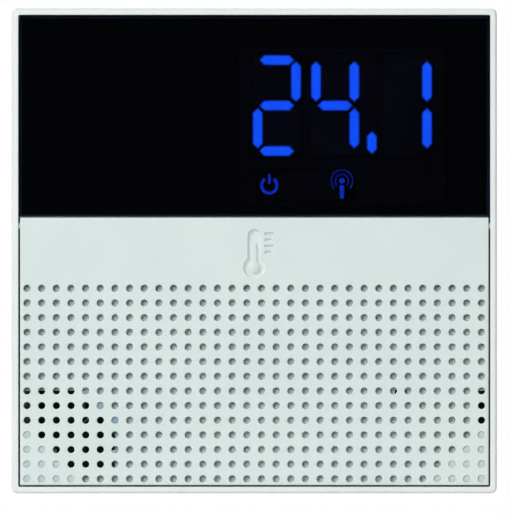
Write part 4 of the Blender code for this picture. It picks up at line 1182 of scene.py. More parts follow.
@dataclass
class DisplayWindow:
    """The smoked lens, and behind it the black mask, the light box, the three figures and the lamps."""

    column: float = 6.8 * MM
    row: float = 8.07 * MM
    bar: float = 1.80 * MM
    level: float = 6.2 * MM
    upright: float = 7.25 * MM
    soft: float = 0.22 * MM
    point_offset: float = 6.52 * MM
    point_height: float = 4.1 * MM
    point_rise: float = 0.33 * MM
    lift: float = 0.23 * MM             # how much further up the two upper bars sit
    border: float = 0.05 * MM           # of black left of the left bars
    proud: float = 0.3 * MM             # how far the bars stand out of their block
    power_radius: float = 1.35 * MM
    power_stroke: float = 0.50 * MM
    power_gap: float = 70.0             # degrees of the power sign's ring that are open
    wave_radii: tuple[float, float] = (1.15 * MM, 1.92 * MM)
    wave_stroke: float = 0.28 * MM
    wave_gap: float = 90.0              # degrees of the radio sign's rings that are open

    def lens(self) -> None:
        """The smoked sheet, let into the frame with a hair's gap."""
        box = Extent.of("display_lens")
        side = Extent.of("front_frame").right - FrontFrame.wall - 0.03 * MM
        box = replace(box, left=-side, right=side, top=side, bottom=box.bottom - 0.06 * MM)
        Form().block(box, 0.12 * MM).place("display_lens_sheet", "display_lens", "smoked_acrylic",
                                           [Palette.LENS])

    def outline(self, x: float, z: float, length: float, upright: bool) -> list[tuple[float, float]]:
        """The outline of one bar with pointed ends.

        Args:
            x: Its middle, left to right.
            z: Its middle height.
            length: From point to point.
            upright: Whether it stands.

        Returns:
            Its six (x, z) points.
        """
        half, reach = self.bar / 2, length / 2
        points = [(-reach, 0), (-reach + half, -half), (reach - half, -half),
                  (reach, 0), (reach - half, half), (-reach + half, half)]
        if upright:
            return [(x - across, z + along) for along, across in points]
        return [(x + along, z + across) for along, across in points]

    def segment(self, form: Form, outline: Sequence[tuple[float, float]], front: float, lit: bool) -> None:
        """Adds one raised bar. A lit one has a duller border round its bright middle.

        Args:
            form: The figure that it goes on.
            outline: Its (x, z) points.
            front: Its front depth.
            lit: Whether it glows.
        """
        back = front - self.proud - 0.2 * MM
        part = bmesh.new()
        face = part.faces.new([part.verts.new((x, -back, z)) for x, z in outline])
        grown = bmesh.ops.extrude_face_region(part, geom=[face])["geom"]
        bmesh.ops.translate(part, verts=verts_of(grown), vec=(0, back - front, 0))
        top = next(item for item in grown if isinstance(item, BMFace))
        for made in part.faces:
            made.material_index = 2 if lit else 3
        bmesh.ops.inset_region(part, faces=[top], thickness=self.soft, use_even_offset=True)
        top.material_index = 1 if lit else 3
        form.absorb(part, keep_finish=True)

    def figure(self, node: str, lit: Sequence[Segment], point: bool = False) -> None:
        """One figure's block with its bars.

        Args:
            node: The CAD node that it stands for.
            lit: The bars that glow.
            point: Whether it has a glowing decimal point.
        """
        box = Extent.of(node)
        x = box.left + self.column / 2 + self.bar / 2 + self.border
        z = box.z
        form = Form().block(box.between(box.back, box.front - self.proud), 0.08 * MM)
        for bar in Segment:
            column, row, upright = bar.value
            centre_x = x + column * self.column / 2
            centre_z = z + row * self.row / (2 if upright else 1)
            if upright and row > 0:
                centre_z += self.lift
            outline = self.outline(centre_x, centre_z, self.upright if upright else self.level, upright)
            self.segment(form, outline, box.front, bar in lit)
        if point:
            centre_z = z - self.row - self.bar / 2 + self.point_height / 2 + self.point_rise
            outline = self.outline(x + self.point_offset, centre_z, self.point_height, True)
            self.segment(form, outline, box.front, True)
        form.place(f"{node}_block", node, "lit_diffuser",
                   [Palette.BLACK_PC, Palette.SEGMENT_LIT, Palette.SEGMENT_EDGE, Palette.SEGMENT_DARK])

    def lamps(self) -> None:
        """The strip under the figures, with a power sign and a radio sign printed out of the black."""
        box = Extent.of("lamp_strip")
        back, front = box.front - self.proud, box.front
        centres = (box.left + 2.15 * MM, box.right - 2.15 * MM)
        form = Form().block(box.between(box.back, back), 0.08 * MM)
        for x in centres:
            form.post(x, box.z, back - 0.2 * MM, front - 0.1 * MM, 2.1 * MM, 40)
        x, z = centres[0], box.z - 0.1 * MM
        form.painted(1)
        form.arc(x, z, self.power_radius, self.power_stroke, *self.open_ring(self.power_gap), back, front, 32)
        form.slab(Extent.about(x, z + 1.15 * MM, 0.45 * MM, 1.75 * MM, back, front), 0.2 * MM, 4)
        x, z = centres[1], box.z + 0.75 * MM
        form.post(x, z, back, front, 0.48 * MM)
        mast = [(-0.44, -1.0), (-0.30, -3.15), (0.30, -3.15), (0.44, -1.0), (0, -0.75)]
        form.prism([(x + across * MM, z + up * MM) for across, up in mast], back, front)
        form.painted(2)
        start, sweep = self.open_ring(self.wave_gap)
        for radius in self.wave_radii:
            form.arc(x, z, radius, self.wave_stroke, start - math.pi, sweep, back, front, 36)
        form.place("lamp_strip_block", "lamp_strip", "lit_diffuser",
                   [Palette.BLACK_PC, Palette.ICON_LIT, Palette.ICON_DIM])

    @staticmethod
    def open_ring(gap: float) -> tuple[float, float]:
        """Where a ring that is open at its top starts, and how far it runs, from its gap in degrees."""
        return math.radians(90 + gap / 2), math.radians(360 - gap)

    def build(self) -> None:
        """Makes the lens, the figures for 24.1, the lamps, the mask and the light box."""
        self.lens()
        two = (Segment.TOP, Segment.UPPER_RIGHT, Segment.MIDDLE, Segment.LOWER_LEFT, Segment.BOTTOM)
        four = (Segment.UPPER_LEFT, Segment.UPPER_RIGHT, Segment.MIDDLE, Segment.LOWER_RIGHT)
        one = (Segment.UPPER_RIGHT, Segment.LOWER_RIGHT)
        self.figure("figure_tens", two)
        self.figure("figure_units", four, point=True)
        self.figure("figure_tenths", one)
        self.lamps()
        Form().cad("display_mask").place("display_mask_sheet", "display_mask", "black_moulding",
                                         [Palette.MASK_INK])
        Form().cad("display_housing", 0.12 * MM).place("display_housing_box", "display_housing",
                                                       "black_moulding", [Palette.BLACK_PC])


# --- Chassis ----------------------------------------------------------------------------------

@dataclass
class Chassis:
    """The inner plate behind the cover, and the pairing button in it."""

    edge: float = 0.12 * MM
    pin: float = 1.3 * MM               # radius of an ejector pin's mark
    pins: tuple[tuple[float, float], ...] = tuple(
        (x * MM, z * MM) for x, z in ((-12, -14), (14, -14), (-10, -33), (16, -33)))
    nib: tuple[float, float] = (-24.95 * MM, -35.65 * MM)
    stem: float = 1.5 * MM
    button_proud: float = 0.9 * MM      # how far the button stands out of the plate
    gusset_height: float = 1.9 * MM     # of the corner gussets on the plate
    strip_height: float = 1.2 * MM
    gusset_reach: float = 0.25 * MM     # how much nearer the cover the corner gussets come
    strip_reach: float = 0.6 * MM       # the same for the strip along the air window

    def raise_faces(self, form: Form, depth: float, reach: float, finish: int) -> None:
        """Moves the faces at one depth nearer the cover and gives them and their sides a finish.

        Args:
            form: The plate.
            depth: The depth of the faces.
            reach: How far they move.
            finish: The finish's number.
        """
        near = [vert for vert in form.mesh.verts if abs(-vert.co.y - depth) < 2 * self.edge]
        bmesh.ops.translate(form.mesh, verts=near, vec=(0, -reach, 0))
        for face in {face for vert in near for face in vert.link_faces}:
            face.material_index = finish

    def build(self) -> None:
        """Rounds the plate's edges and adds the marks that its mould's ejector pins leave."""
        form = Form().cad("chassis", self.edge)
        face = Extent.of("pairing_button").front - self.button_proud
        self.raise_faces(form, face + self.gusset_height, self.gusset_reach, 0)
        self.raise_faces(form, face + self.strip_height, self.strip_reach, 1)
        nib = Extent.about(*self.nib, 0.8 * MM, 0.6 * MM, face - 0.5 * MM, face + self.gusset_height)
        form.block(nib, 0.1 * MM)
        for x, z in self.pins:
            form.turned(x, z, [(0, face - 0.2 * MM), (self.pin, face - 0.2 * MM),
                               (self.pin, face + 0.04 * MM), (self.pin - 0.12 * MM, face + 0.05 * MM),
                               (self.pin - 0.2 * MM, face + 0.01 * MM), (0, face + 0.01 * MM)])
        form.place("chassis_plate", "chassis", "inner_white", [Palette.INNER_ABS, Palette.STRIP])
        self.button()

    def button(self) -> None:
        """The stem with a dished end and its flange."""
        box = Extent.of("pairing_button")
        stem, flange, back, front = self.stem, box.width / 2, box.back, box.front
        profile = [(0, back), (flange - 0.1 * MM, back), (flange, back + 0.1 * MM), (flange, back + 0.4 * MM),
                   (flange - 0.1 * MM, back + 0.5 * MM), (stem, back + 0.5 * MM), (stem, front - 0.2 * MM),
                   (stem - 0.06 * MM, front - 0.06 * MM), (stem - 0.2 * MM, front),
                   (stem - 0.4 * MM, front - 0.03 * MM), (0, front - 0.16 * MM)]
        Form().turned(box.x, box.z, profile, 40).place(
            "pairing_button_stem", "pairing_button", "light_blue_button", [Palette.BUTTON_ABS], Body.BUTTON)


# --- Small parts ------------------------------------------------------------------------------

class Facing(Enum):
    """Which way a small part stands off its board: towards the room or towards the wall."""

    ROOM = 1
    WALL = -1


def stack(base: float, facing_way: Facing, near: float, far: float) -> tuple[float, float]:
    """Back and front depths of a stretch that starts near and ends far off a board's face.

    Args:
        base: Depth of the board's face.
        facing_way: Which way the part stands off it.
        near: Where the stretch starts, from the face.
        far: Where it ends.

    Returns:
        The lower and the higher depth.
    """
    first, second = sorted((base + facing_way.value * near, base + facing_way.value * far))
    return first, second


def chip(form: Form, x: float, z: float, face: float, way: Facing, upright: bool) -> None:
    """Adds a surface-mounted chip with tinned ends. Finish 1 is solder and finish 2 the chip's body.

    Args:
        form: The board.
        x: The chip's middle, left to right.
        z: Its middle height.
        face: Depth of the board's face.
        way: Which way it stands off the board.
        upright: Whether its length runs up and down.
    """
    length, width = 1.6 * MM, 0.8 * MM
    for finish, size, rise in ((2, (0.66 * length, width), 0.50 * MM),
                               (1, (length, 0.92 * width), 0.44 * MM)):
        across, along = size[::-1] if upright else size
        box = Extent.about(x, z, across, along, *stack(face, way, HAIR, rise))
        form.painted(finish).block(box, 0.05 * MM, 1)
    form.painted(0)


def joint(form: Form, x: float, z: float, face: float, way: Facing, radius: float = 0.75 * MM) -> None:
    """Adds a solder joint: a dished cone round a cut lead, in the finish that is set.

    Args:
        form: The board.
        x: The joint's middle, left to right.
        z: Its middle height.
        face: Depth of the board's face.
        way: Which way it stands off the board.
        radius: Its radius at the board.
    """
    profile = [(0, -HAIR), (radius, -HAIR), (radius * 0.92, 0.08 * MM), (radius * 0.5, 0.30 * MM),
               (radius * 0.36, 0.65 * MM), (radius * 0.2, 0.75 * MM), (0, 0.75 * MM)]
    form.turned(x, z, [(reach, face + way.value * off) for reach, off in profile], 12)


def legs(form: Form, box: Extent, count: int, pitch: float, face: float) -> None:
    """Adds gull-wing legs along the left and right sides of a chip behind a board.

    Args:
        form: The chip.
        box: Its extent.
        count: Legs on each side.
        pitch: From leg to leg.
        face: Depth of the board's face.
    """
    steps = ((0.0, 0.5, 0.45, 0.6), (0.4, 0.55, 0.1, 0.6), (0.4, 1.0, 0.0, 0.15))
    for side, edge in ((-1, box.left), (1, box.right)):
        for z in spaced(box.z, count, pitch):
            for near, far, low, high in steps:
                sides = sorted((edge + side * near * MM, edge + side * far * MM))
                form.block(Extent(*sides, z - 0.11 * MM, z + 0.11 * MM,
                                  *stack(face, Facing.WALL, low * MM, high * MM)))


# --- Display board ----------------------------------------------------------------------------

@dataclass
class DisplayBoard:
    """The black board behind the chassis and the parts on it."""

    pin_pitch: float = 2.54 * MM
    wire: float = 0.3 * MM
    aerial_wire: float = 0.4 * MM
    bead: float = 1.15 * MM
    lead: float = 0.22 * MM

    def board(self) -> None:
        """The board with its module's solder joints, its test pads and two fields of chips."""
        box = Extent.of("display_board")
        module = Extent.of("display_housing")
        form = Form().cad("display_board", 0.06 * MM, 1)
        form.painted(1)
        for z in (module.bottom + 1.5 * MM, module.top - 1.5 * MM):
            for x in spaced(module.x, int(module.width / self.pin_pitch), self.pin_pitch):
                joint(form, x, z, box.back, Facing.WALL)
        plug = Extent.of("header_plug")
        for x in spaced(plug.x, 5, self.pin_pitch):
            joint(form, x, plug.z, box.front, Facing.ROOM)
        for x in spaced(-15 * MM, 6, 2 * MM):
            form.dot(x, 33 * MM, box.back + HAIR, box.back - 0.03 * MM, 0.5 * MM)
        for row in range(3):
            for column in range(4):
                chip(form, -24 * MM + column * 2.6 * MM, -2 * MM + row * 2.4 * MM, box.back, Facing.WALL,
                     (row + column) % 2 == 0)
        for row in range(4):
            chip(form, 24.5 * MM, 14 * MM + row * 3 * MM, box.back, Facing.WALL, True)
            chip(form, 18 * MM + row * 2.6 * MM, -20 * MM, box.back, Facing.WALL, False)
        form.place("display_board_assembly", "display_board", "black_board",
                   [Palette.BLACK_BOARD, Palette.SOLDER, Palette.CERAMIC])

    def switch(self) -> None:
        """The square push switch: black body, steel cap with four lugs, round plunger."""
        box = Extent.of("tact_switch")
        cap = box.front - 0.35 * MM
        form = Form().block(box.between(box.back, cap), 0.15 * MM)
        form.painted(1).slab(box.grown(-0.12 * MM).between(cap - 0.1 * MM, cap + 0.12 * MM), 0.5 * MM, 4,
                             front=0.05 * MM, steps=1)
        for x, z in corners(1.55 * MM, 1.55 * MM):
            form.post(box.x + x, box.z + z, cap, cap + 0.18 * MM, 0.25 * MM, 12)
        form.painted(0).post(box.x, box.z, cap, box.front, 1.1 * MM, rounding=0.08 * MM)
        form.place("tact_switch_unit", "tact_switch", "black_moulding", [Palette.BLACK_PBT, Palette.ZINC])

    def springs(self) -> None:
        """The touch spring and the radio's wound aerial."""
        box = Extent.of("touch_spring")
        start = Vector((box.x, -(box.back + self.wire), box.z))
        length = box.thickness - 2 * self.wire
        form = Form().coil(start, Vector((0, -1, 0)), box.width / 2 - self.wire, self.wire, 5, length / 5)
        form.place("touch_spring_coil", "touch_spring", "zinc_steel", [Palette.ZINC])
        box = Extent.of("antenna")
        start = Vector((box.x, -box.depth, box.bottom + self.aerial_wire))
        length = box.height - 2 * self.aerial_wire
        form = Form().coil(start, Vector((0, 0, 1)), box.width / 2 - self.aerial_wire, self.aerial_wire, 9,
                           length / 9)
        foot = Vector((box.x + box.width / 2 - self.aerial_wire, -box.depth, box.bottom + self.aerial_wire))
        board = Extent.of("display_board").back
        form.rod(foot, Vector((foot.x, -board, foot.z)), self.aerial_wire, 10)
        form.place("antenna_coil", "antenna", "copper_wire", [Palette.COPPER])

    def sensor(self) -> None:
        """The thermistor: a drop of epoxy on two tinned leads, one of them bent across."""
        box = Extent.of("temperature_sensor")
        y = -box.depth
        bead = Vector((box.x, y, box.bottom + self.bead))
        part = bmesh.new()
        drop = Matrix.Translation(bead) @ Matrix.Diagonal((0.86, 0.86, 1.12, 1))
        bmesh.ops.create_uvsphere(part, u_segments=20, v_segments=12, radius=self.bead * 0.9, matrix=drop)
        form = Form().absorb(part).painted(1)
        for side in (-1, 1):
            x = box.x + side * 0.6 * MM
            waist = Vector((x, y, bead.z + 1.6 * MM))
            form.rod(Vector((box.x + side * 0.3 * MM, y, bead.z + 0.5 * MM)), waist, self.lead, 10, 0.05 * MM)
            form.rod(waist, Vector((x, y, box.top)), self.lead, 10, 0.05 * MM)
        form.rod(Vector((bead.x - 1.2 * MM, y - 1.3 * MM, bead.z - 1.3 * MM)),
                 Vector((bead.x + 0.9 * MM, y - 1.3 * MM, bead.z + 0.8 * MM)), 0.1 * MM, 8)
        form.place("temperature_sensor_bead", "temperature_sensor", "epoxy", [Palette.EPOXY, Palette.SOLDER])

    def radio(self) -> None:
        """The radio's own small board, its soldered edge pads and its dimpled can."""
        box = Extent.of("radio_module")
        board = box.between(box.front - 0.8 * MM, box.front)
        form = Form().block(board, 0.05 * MM, 1)
        form.painted(1)
        for x in (box.left + 0.35 * MM, box.right - 0.35 * MM):
            for z in spaced(box.z, 9, 1.5 * MM):
                form.block(Extent.about(x, z, 0.8 * MM, 0.8 * MM, board.back - 0.06 * MM, board.front))
        can = box.grown(-1.2 * MM).between(box.back, board.back + 0.1 * MM)
        form.painted(2).slab(can, 0.5 * MM, 4, back=0.22 * MM, steps=3)
        for x, z in corners(can.width / 2 - 1.4 * MM, can.height / 2 - 1.4 * MM):
            form.dot(box.x + x, box.z + z, box.back + HAIR, box.back - 0.05 * MM, 0.45 * MM,
                     end_radius=0.4 * MM)
        form.place("radio_module_can", "radio_module", "zinc_steel",
                   [Palette.GREEN_BOARD, Palette.SOLDER, Palette.TIN])

    def sounder(self) -> None:
        """The round sounder with a stepped rim and a port."""
        box = Extent.of("buzzer")
        radius, back, front = box.width / 2, box.back, box.front
        profile = [(0, front), (radius - 0.1 * MM, front), (radius, front - 0.1 * MM),
                   (radius, back + 1.2 * MM), (radius - 0.15 * MM, back + MM),
                   (radius - 0.15 * MM, back + 0.3 * MM), (radius - 0.4 * MM, back), (1.3 * MM, back),
                   (1.1 * MM, back + 0.15 * MM), (MM, back + 0.2 * MM), (MM, back + 1.4 * MM),
                   (0, back + 1.4 * MM)]
        Form().turned(box.x, box.z, profile, 40).place(
            "buzzer_case", "buzzer", "black_moulding", [Palette.BLACK_PBT])

    def processor(self) -> None:
        """The square chip with its corner dot and two rows of legs."""
        box = Extent.of("microcontroller")
        face = Extent.of("display_board").back
        form = Form().slab(box, 0.25 * MM, 2, front=0.1 * MM, back=0.22 * MM, steps=1)
        form.dot(box.left + 1.1 * MM, box.top - 1.1 * MM, box.back + HAIR, box.back - 0.02 * MM, 0.4 * MM, 20)
        legs(form.painted(1), box, 16, 0.55 * MM, face)
        form.place("microcontroller_chip", "microcontroller", "epoxy", [Palette.EPOXY, Palette.TIN])

    def build(self) -> None:
        """Makes the board and everything on it."""
        self.board()
        self.switch()
        self.springs()
        self.sensor()
        self.radio()
        self.sounder()
        self.processor()


# --- Mains board ------------------------------------------------------------------------------

@dataclass
class MainsBoard:
    """The green board on the wall base, with the supply, the relay and the terminals."""

    pin_pitch: float = 2.54 * MM
    groove: float = 0.35 * MM

    @staticmethod
    def leads(part: Extent) -> list[tuple[float, float]]:
        """Where the four leads of a box-shaped part are."""
        inset_x, inset_z = min(2 * MM, part.width / 4), min(2 * MM, part.height / 4)
        places = corners(part.width / 2 - inset_x, part.height / 2 - inset_z)
        return [(part.x + x, part.z + z) for x, z in places]

    def board(self) -> None:
        """The board, its solder joints towards the wall, and a few chips."""
        box = Extent.of("mains_board")
        form = Form().cad("mains_board", 0.06 * MM, 1)
        form.painted(1)
        parts = ("supply_module", "relay", "film_capacitor", "fuse", "varistor", "electrolytic_capacitor")
        for node in parts:
            for x, z in self.leads(Extent.of(node)):
                joint(form, x, z, box.back, Facing.WALL, 0.9 * MM)
        block = Extent.of("terminal_block")
        for number in range(4):
            screw = Extent.of(f"clamp_screw_{number + 1}")
            for side in (-1, 1):
                joint(form, screw.x, block.z + side * 2 * MM, box.back, Facing.WALL, 1.1 * MM)
        plug = Extent.of("header_socket")
        for x in spaced(plug.x, 5, self.pin_pitch):
            joint(form, x, plug.z, box.back, Facing.WALL)
        for row in range(5):
            chip(form, 17.5 * MM, -22 * MM + row * 3 * MM, box.front, Facing.ROOM, row % 2 == 0)
            chip(form, -18.5 * MM, -22 * MM + row * 3 * MM, box.front, Facing.ROOM, row % 2 == 1)
        form.place("mains_board_assembly", "mains_board", "green_board",
                   [Palette.GREEN_BOARD, Palette.SOLDER, Palette.CERAMIC])

    def case(self, node: str, finish: Finish, slot: str, rounding: float, panel: float = 0.0) -> None:
        """One box-shaped part: a rounded case with a moulded line, a blank sunk panel and its leads.

        Args:
            node: The CAD node that it stands for.
            finish: The case's finish.
            slot: The record's slot.
            rounding: Rounding of the case's edges.
            panel: Border round a sunk panel on its front; none if it is 0.
        """
        box = Extent.of(node)
        board = Extent.of("mains_board")
        form = Form().slab(box, rounding * 1.5, 4, front=rounding, back=rounding / 2, steps=3)
        if panel:
            sunk = box.grown(-panel).between(box.front - 0.18 * MM, box.front + MM)
            form.combine(Form().slab(sunk, rounding, 3), Join.CUT)
        seam = box.grown(MM).between(box.front - 1.6 * MM - self.groove, box.front - 1.6 * MM)
        ring = Form().block(seam)
        ring.combine(Form().slab(box.grown(-0.15 * MM), rounding * 1.5, 4), Join.CUT)
        form.combine(ring, Join.CUT)
        form.painted(1)
        for x, z in self.leads(box):
            form.post(x, z, board.front - 0.2 * MM, box.back + 0.3 * MM, 0.35 * MM, 10)
        form.place(f"{node}_case", node, slot, [finish, Palette.SOLDER])

    def disc(self) -> None:
        """The varistor: a dipped disc, thicker in the middle, on two leads."""
        box = Extent.of("varistor")
        radius, half = box.width / 2, box.height / 2
        centre = Vector((box.x, -box.depth, box.z))
        upper = [(0, half), (radius * 0.75, half * 0.96), (radius * 0.93, half * 0.7), (radius, half * 0.2)]
        profile = upper + [(reach, -up) for reach, up in reversed(upper)]
        points = [centre + Vector((reach, 0, up)) for reach, up in profile]
        form = Form().absorb(lathe(points, centre, Vector((0, 0, 1)), 36)).painted(1)
        board = Extent.of("mains_board").front
        for side in (-1, 1):
            form.post(box.x + side * 1.9 * MM, box.z + side * 0.6 * MM, board - 0.2 * MM, box.back + 1.4 * MM,
                      0.3 * MM, 10)
        form.place("varistor_disc", "varistor", "varistor_blue", [Palette.BLUE_COATING, Palette.SOLDER])

    def can(self) -> None:
        """The electrolytic: a sleeved can with a groove, a bare top scored as a vent, and a pale stripe."""
        box = Extent.of("electrolytic_capacitor")
        radius, back, front = box.width / 2, box.back, box.front
        form = Form().turned(box.x, box.z, [
            (0, back), (radius * 0.9, back), (radius, back + 0.2 * MM), (radius, back + 0.9 * MM),
            (radius * 0.9, back + 1.3 * MM), (radius * 0.9, back + 1.5 * MM), (radius, back + 1.9 * MM),
            (radius, front - 0.4 * MM), (radius * 0.94, front - 0.08 * MM),
            (radius * 0.82, front - 0.02 * MM), (radius * 0.8, front - 0.2 * MM), (0, front - 0.2 * MM)], 48)
        form.painted(1).dot(box.x, box.z, front - 0.3 * MM, front - 0.06 * MM, radius * 0.8, 40,
                            radius * 0.79)
        score = Form()
        for turn in (0, 1):
            size = (radius * 1.2, 0.16 * MM) if turn else (0.16 * MM, radius * 1.2)
            score.block(Extent.about(box.x, box.z, *size, front - 0.16 * MM - turn * HAIR, front))
        form.painted(2).arc(box.x, box.z, radius + 0.01 * MM, 0.03 * MM, math.radians(200), math.radians(36),
                            back + 2.0 * MM, front - 0.45 * MM, 10)
        form.painted(1).absorb(score.mesh)
        form.place("electrolytic_capacitor_can", "electrolytic_capacitor", "capacitor_sleeve",
                   [Palette.SLEEVE, Palette.ALUMINIUM, Palette.GREY_PBT])

    def connectors(self) -> None:
        """The two halves of the board-to-board header, with their pins."""
        for node in ("header_socket", "header_plug"):
            box = Extent.of(node)
            form = Form().slab(box, 0.2 * MM, 2, front=0.12 * MM, back=0.12 * MM, steps=2)
            form.painted(1)
            for x in spaced(box.x, 5, self.pin_pitch):
                form.block(Extent.about(x, box.z, 0.64 * MM, 0.64 * MM, box.back - 0.25 * MM,
                                        box.front + 0.14 * MM), 0.1 * MM, 1)
            form.place(f"{node}_body", node, "black_moulding", [Palette.BLACK_PBT, Palette.TIN])

    def terminals(self) -> None:
        """The terminal block with its wells, plated cages in its entries, and its clamp screws."""
        box = Extent.of("terminal_block")
        form = Form().cad("terminal_block", 0.14 * MM)
        form.painted(1)
        middle = box.back + box.thickness / 3
        for number in range(1, 5):
            screw = Extent.of(f"clamp_screw_{number}")
            form.block(Extent(screw.x - 1.7 * MM, screw.x + 1.7 * MM, box.z + 0.3 * MM, box.z + 0.8 * MM,
                              middle - 1.7 * MM, middle + 1.7 * MM), 0.1 * MM, 1)
            form.block(Extent(screw.x - 1.75 * MM, screw.x + 1.75 * MM, box.z + 0.6 * MM, box.top - 0.8 * MM,
                              middle - 1.79 * MM, middle - 1.45 * MM), 0.1 * MM, 1)
            self.clamp(f"clamp_screw_{number}", screw)
        form.place("terminal_block_body", "terminal_block", "terminal_green", [Palette.GREEN_PA, Palette.TIN])

    def clamp(self, node: str, box: Extent) -> None:
        """One headless clamp screw with its slot.

        Args:
            node: The CAD node that it stands for.
            box: Its extent.
        """
        radius, back, front = box.width / 2, box.back, box.front
        form = Form().turned(box.x, box.z, [
            (0, back), (radius - 0.25 * MM, back), (radius, back + 0.2 * MM), (radius, front - 0.25 * MM),
            (radius - 0.08 * MM, front - 0.08 * MM), (radius - 0.25 * MM, front), (0, front)], 32)
        slot = Extent.about(box.x, box.z, 2.4 * radius, 0.55 * MM, front - 0.55 * MM, front + MM)
        form.combine(Form().block(slot), Join.CUT)
        form.place(f"{node}_head", node, "zinc_steel", [Palette.ZINC])

    def build(self) -> None:
        """Makes the board and everything on it."""
        self.board()
        self.case("supply_module", Palette.BLACK_PBT, "black_moulding", 0.5 * MM, 1.6 * MM)
        self.case("relay", Palette.RELAY_PBT, "relay_blue", 0.35 * MM, 1.0 * MM)
        self.case("film_capacitor", Palette.YELLOW_FILM, "film_yellow", 0.45 * MM)
        self.case("fuse", Palette.GREY_PBT, "fuse_grey", 0.4 * MM)
        self.disc()
        self.can()
        self.connectors()
        self.terminals()


# --- Wall base --------------------------------------------------------------------------------

@dataclass
class WallBase:
    """The tray on the wall and its spring tab."""

    edge: float = 0.25 * MM
    pocket_depth: float = 0.7 * MM
    pocket_corner: float = 1.5 * MM
    web: float = 1.6 * MM
    window_drop: float = 17.5 * MM      # from the middle to the cable window's middle
    window_width: float = 30.0 * MM
    window_height: float = 17.0 * MM
    guard: float = 1.4 * MM             # wall round the cable window
    floor: float = 2.0 * MM
    # thickness of the black sheet of painted shade behind the air window
    shade_sheet: float = 0.12 * MM

    def pockets(self, box: Extent) -> Form:
        """The tool for the shallow hollows in the back: a row of four above and a row of four below.

        Args:
            box: The tray's extent.

        Returns:
            The tool.
        """
        tool = Form()
        depths = (-MM, self.pocket_depth)
        reach_x, reach_z = box.right - 4 * MM, box.top - 4 * MM
        width = (2 * reach_x - 3 * self.web) / 4
        for row in (-1, 1):
            edge = row * reach_z
            inner = row * 14.5 * MM
            for column in range(4):
                left = -reach_x + column * (width + self.web)
                sides = sorted((edge, inner))
                tool.slab(Extent(left, left + width, *sides, *depths), self.pocket_corner, 5)
        return tool

    def build(self) -> None:
        """Rounds the tray's edges, hollows its back, and adds a guard round the cable window, an arrow for
        the top and a black sheet of painted shade.
        """
        box = Extent.of("wall_base")
        form = Form().cad("wall_base", self.edge)
        form.combine(self.pockets(box), Join.CUT)
        window = Extent.about(0, -self.window_drop, self.window_width, self.window_height, -MM, self.floor)
        guard = Form().slab(window.grown(self.guard).between(0.02 * MM, 1.2 * MM), 1.2 * MM, 5)
        form.absorb(guard.combine(Form().slab(window, 0.3 * MM, 2), Join.CUT).mesh)
        form.prism([(-2.2 * MM, 18 * MM), (2.2 * MM, 18 * MM), (0, 22.5 * MM)], 0.25 * MM, 1.2 * MM)
        # A black sheet on the floor behind the air window: painted shade that keeps the window dark.
        mains, air = Extent.of("mains_board"), Extent.of("temperature_sensor")
        shade_sheet = Extent(air.left - 8 * MM, mains.left - 0.3 * MM, -39.5 * MM, air.top + 2 * MM,
                      self.floor + HAIR, self.floor + self.shade_sheet)
        form.painted(1).slab(shade_sheet, MM, 4)
        form.place("wall_base_tray", "wall_base", "base_white", [Palette.BASE_ABS, Palette.SHADE_SHEET])
        Form().cad("release_tab", 0.18 * MM).place("release_tab_hook", "release_tab", "base_white",
                                                   [Palette.BASE_ABS], Body.TAB)


# --- Fasteners --------------------------------------------------------------------------------

@dataclass
class Fasteners:
    """The pan-head screws of the base board, the frame and the display board."""

    head: float = 1.9 * MM
    head_height: float = 1.3 * MM
    shank: float = 0.9 * MM
    thread: float = 0.12 * MM
    thread_pitch: float = 0.6 * MM
    slot: float = 0.55 * MM
    slot_depth: float = 0.55 * MM

    def screw(self, node: str, way: Facing) -> None:
        """One screw with a domed, slotted head and a ringed shank that ends in a blunt point.

        Args:
            node: The CAD node that it stands for.
            way: Which way its head faces.
        """
        box = Extent.of(node)
        top = box.front if way is Facing.ROOM else box.back
        length = box.thickness
        core = self.shank - self.thread
        profile = [(0.0, 0.0), (self.head * 0.45, 0.03 * MM), (self.head * 0.8, 0.22 * MM),
                   (self.head * 0.96, 0.55 * MM), (self.head, 0.9 * MM),
                   (self.head, self.head_height - 0.1 * MM), (self.head - 0.1 * MM, self.head_height),
                   (core, self.head_height)]
        down = self.head_height + 0.3 * MM
        while down + self.thread_pitch < length - 0.5 * MM:
            profile += [(core, down), (self.shank, down + self.thread_pitch * 0.4),
                        (core, down + self.thread_pitch * 0.8)]
            down += self.thread_pitch
        profile += [(core, length - 0.45 * MM), (self.shank * 0.35, length), (0.0, length)]
        points = [(radius, top - way.value * off) for radius, off in profile]
        form = Form().turned(box.x, box.z, points, 24)
        slot = Extent.about(box.x, box.z, 2.4 * self.head, self.slot, *stack(top, way, -self.slot_depth, MM))
        form.combine(Form().block(slot), Join.CUT)
        form.place(f"{node}_pan_head", node, "zinc_steel", [Palette.ZINC])

    def build(self) -> None:
        """Makes all ten screws."""
        for number in range(1, 5):
            self.screw(f"board_screw_{number}", Facing.ROOM)
            self.screw(f"corner_screw_{number}", Facing.WALL)
        for number in (1, 2):
            self.screw(f"display_screw_{number}", Facing.WALL)


# --- Studio -----------------------------------------------------------------------------------

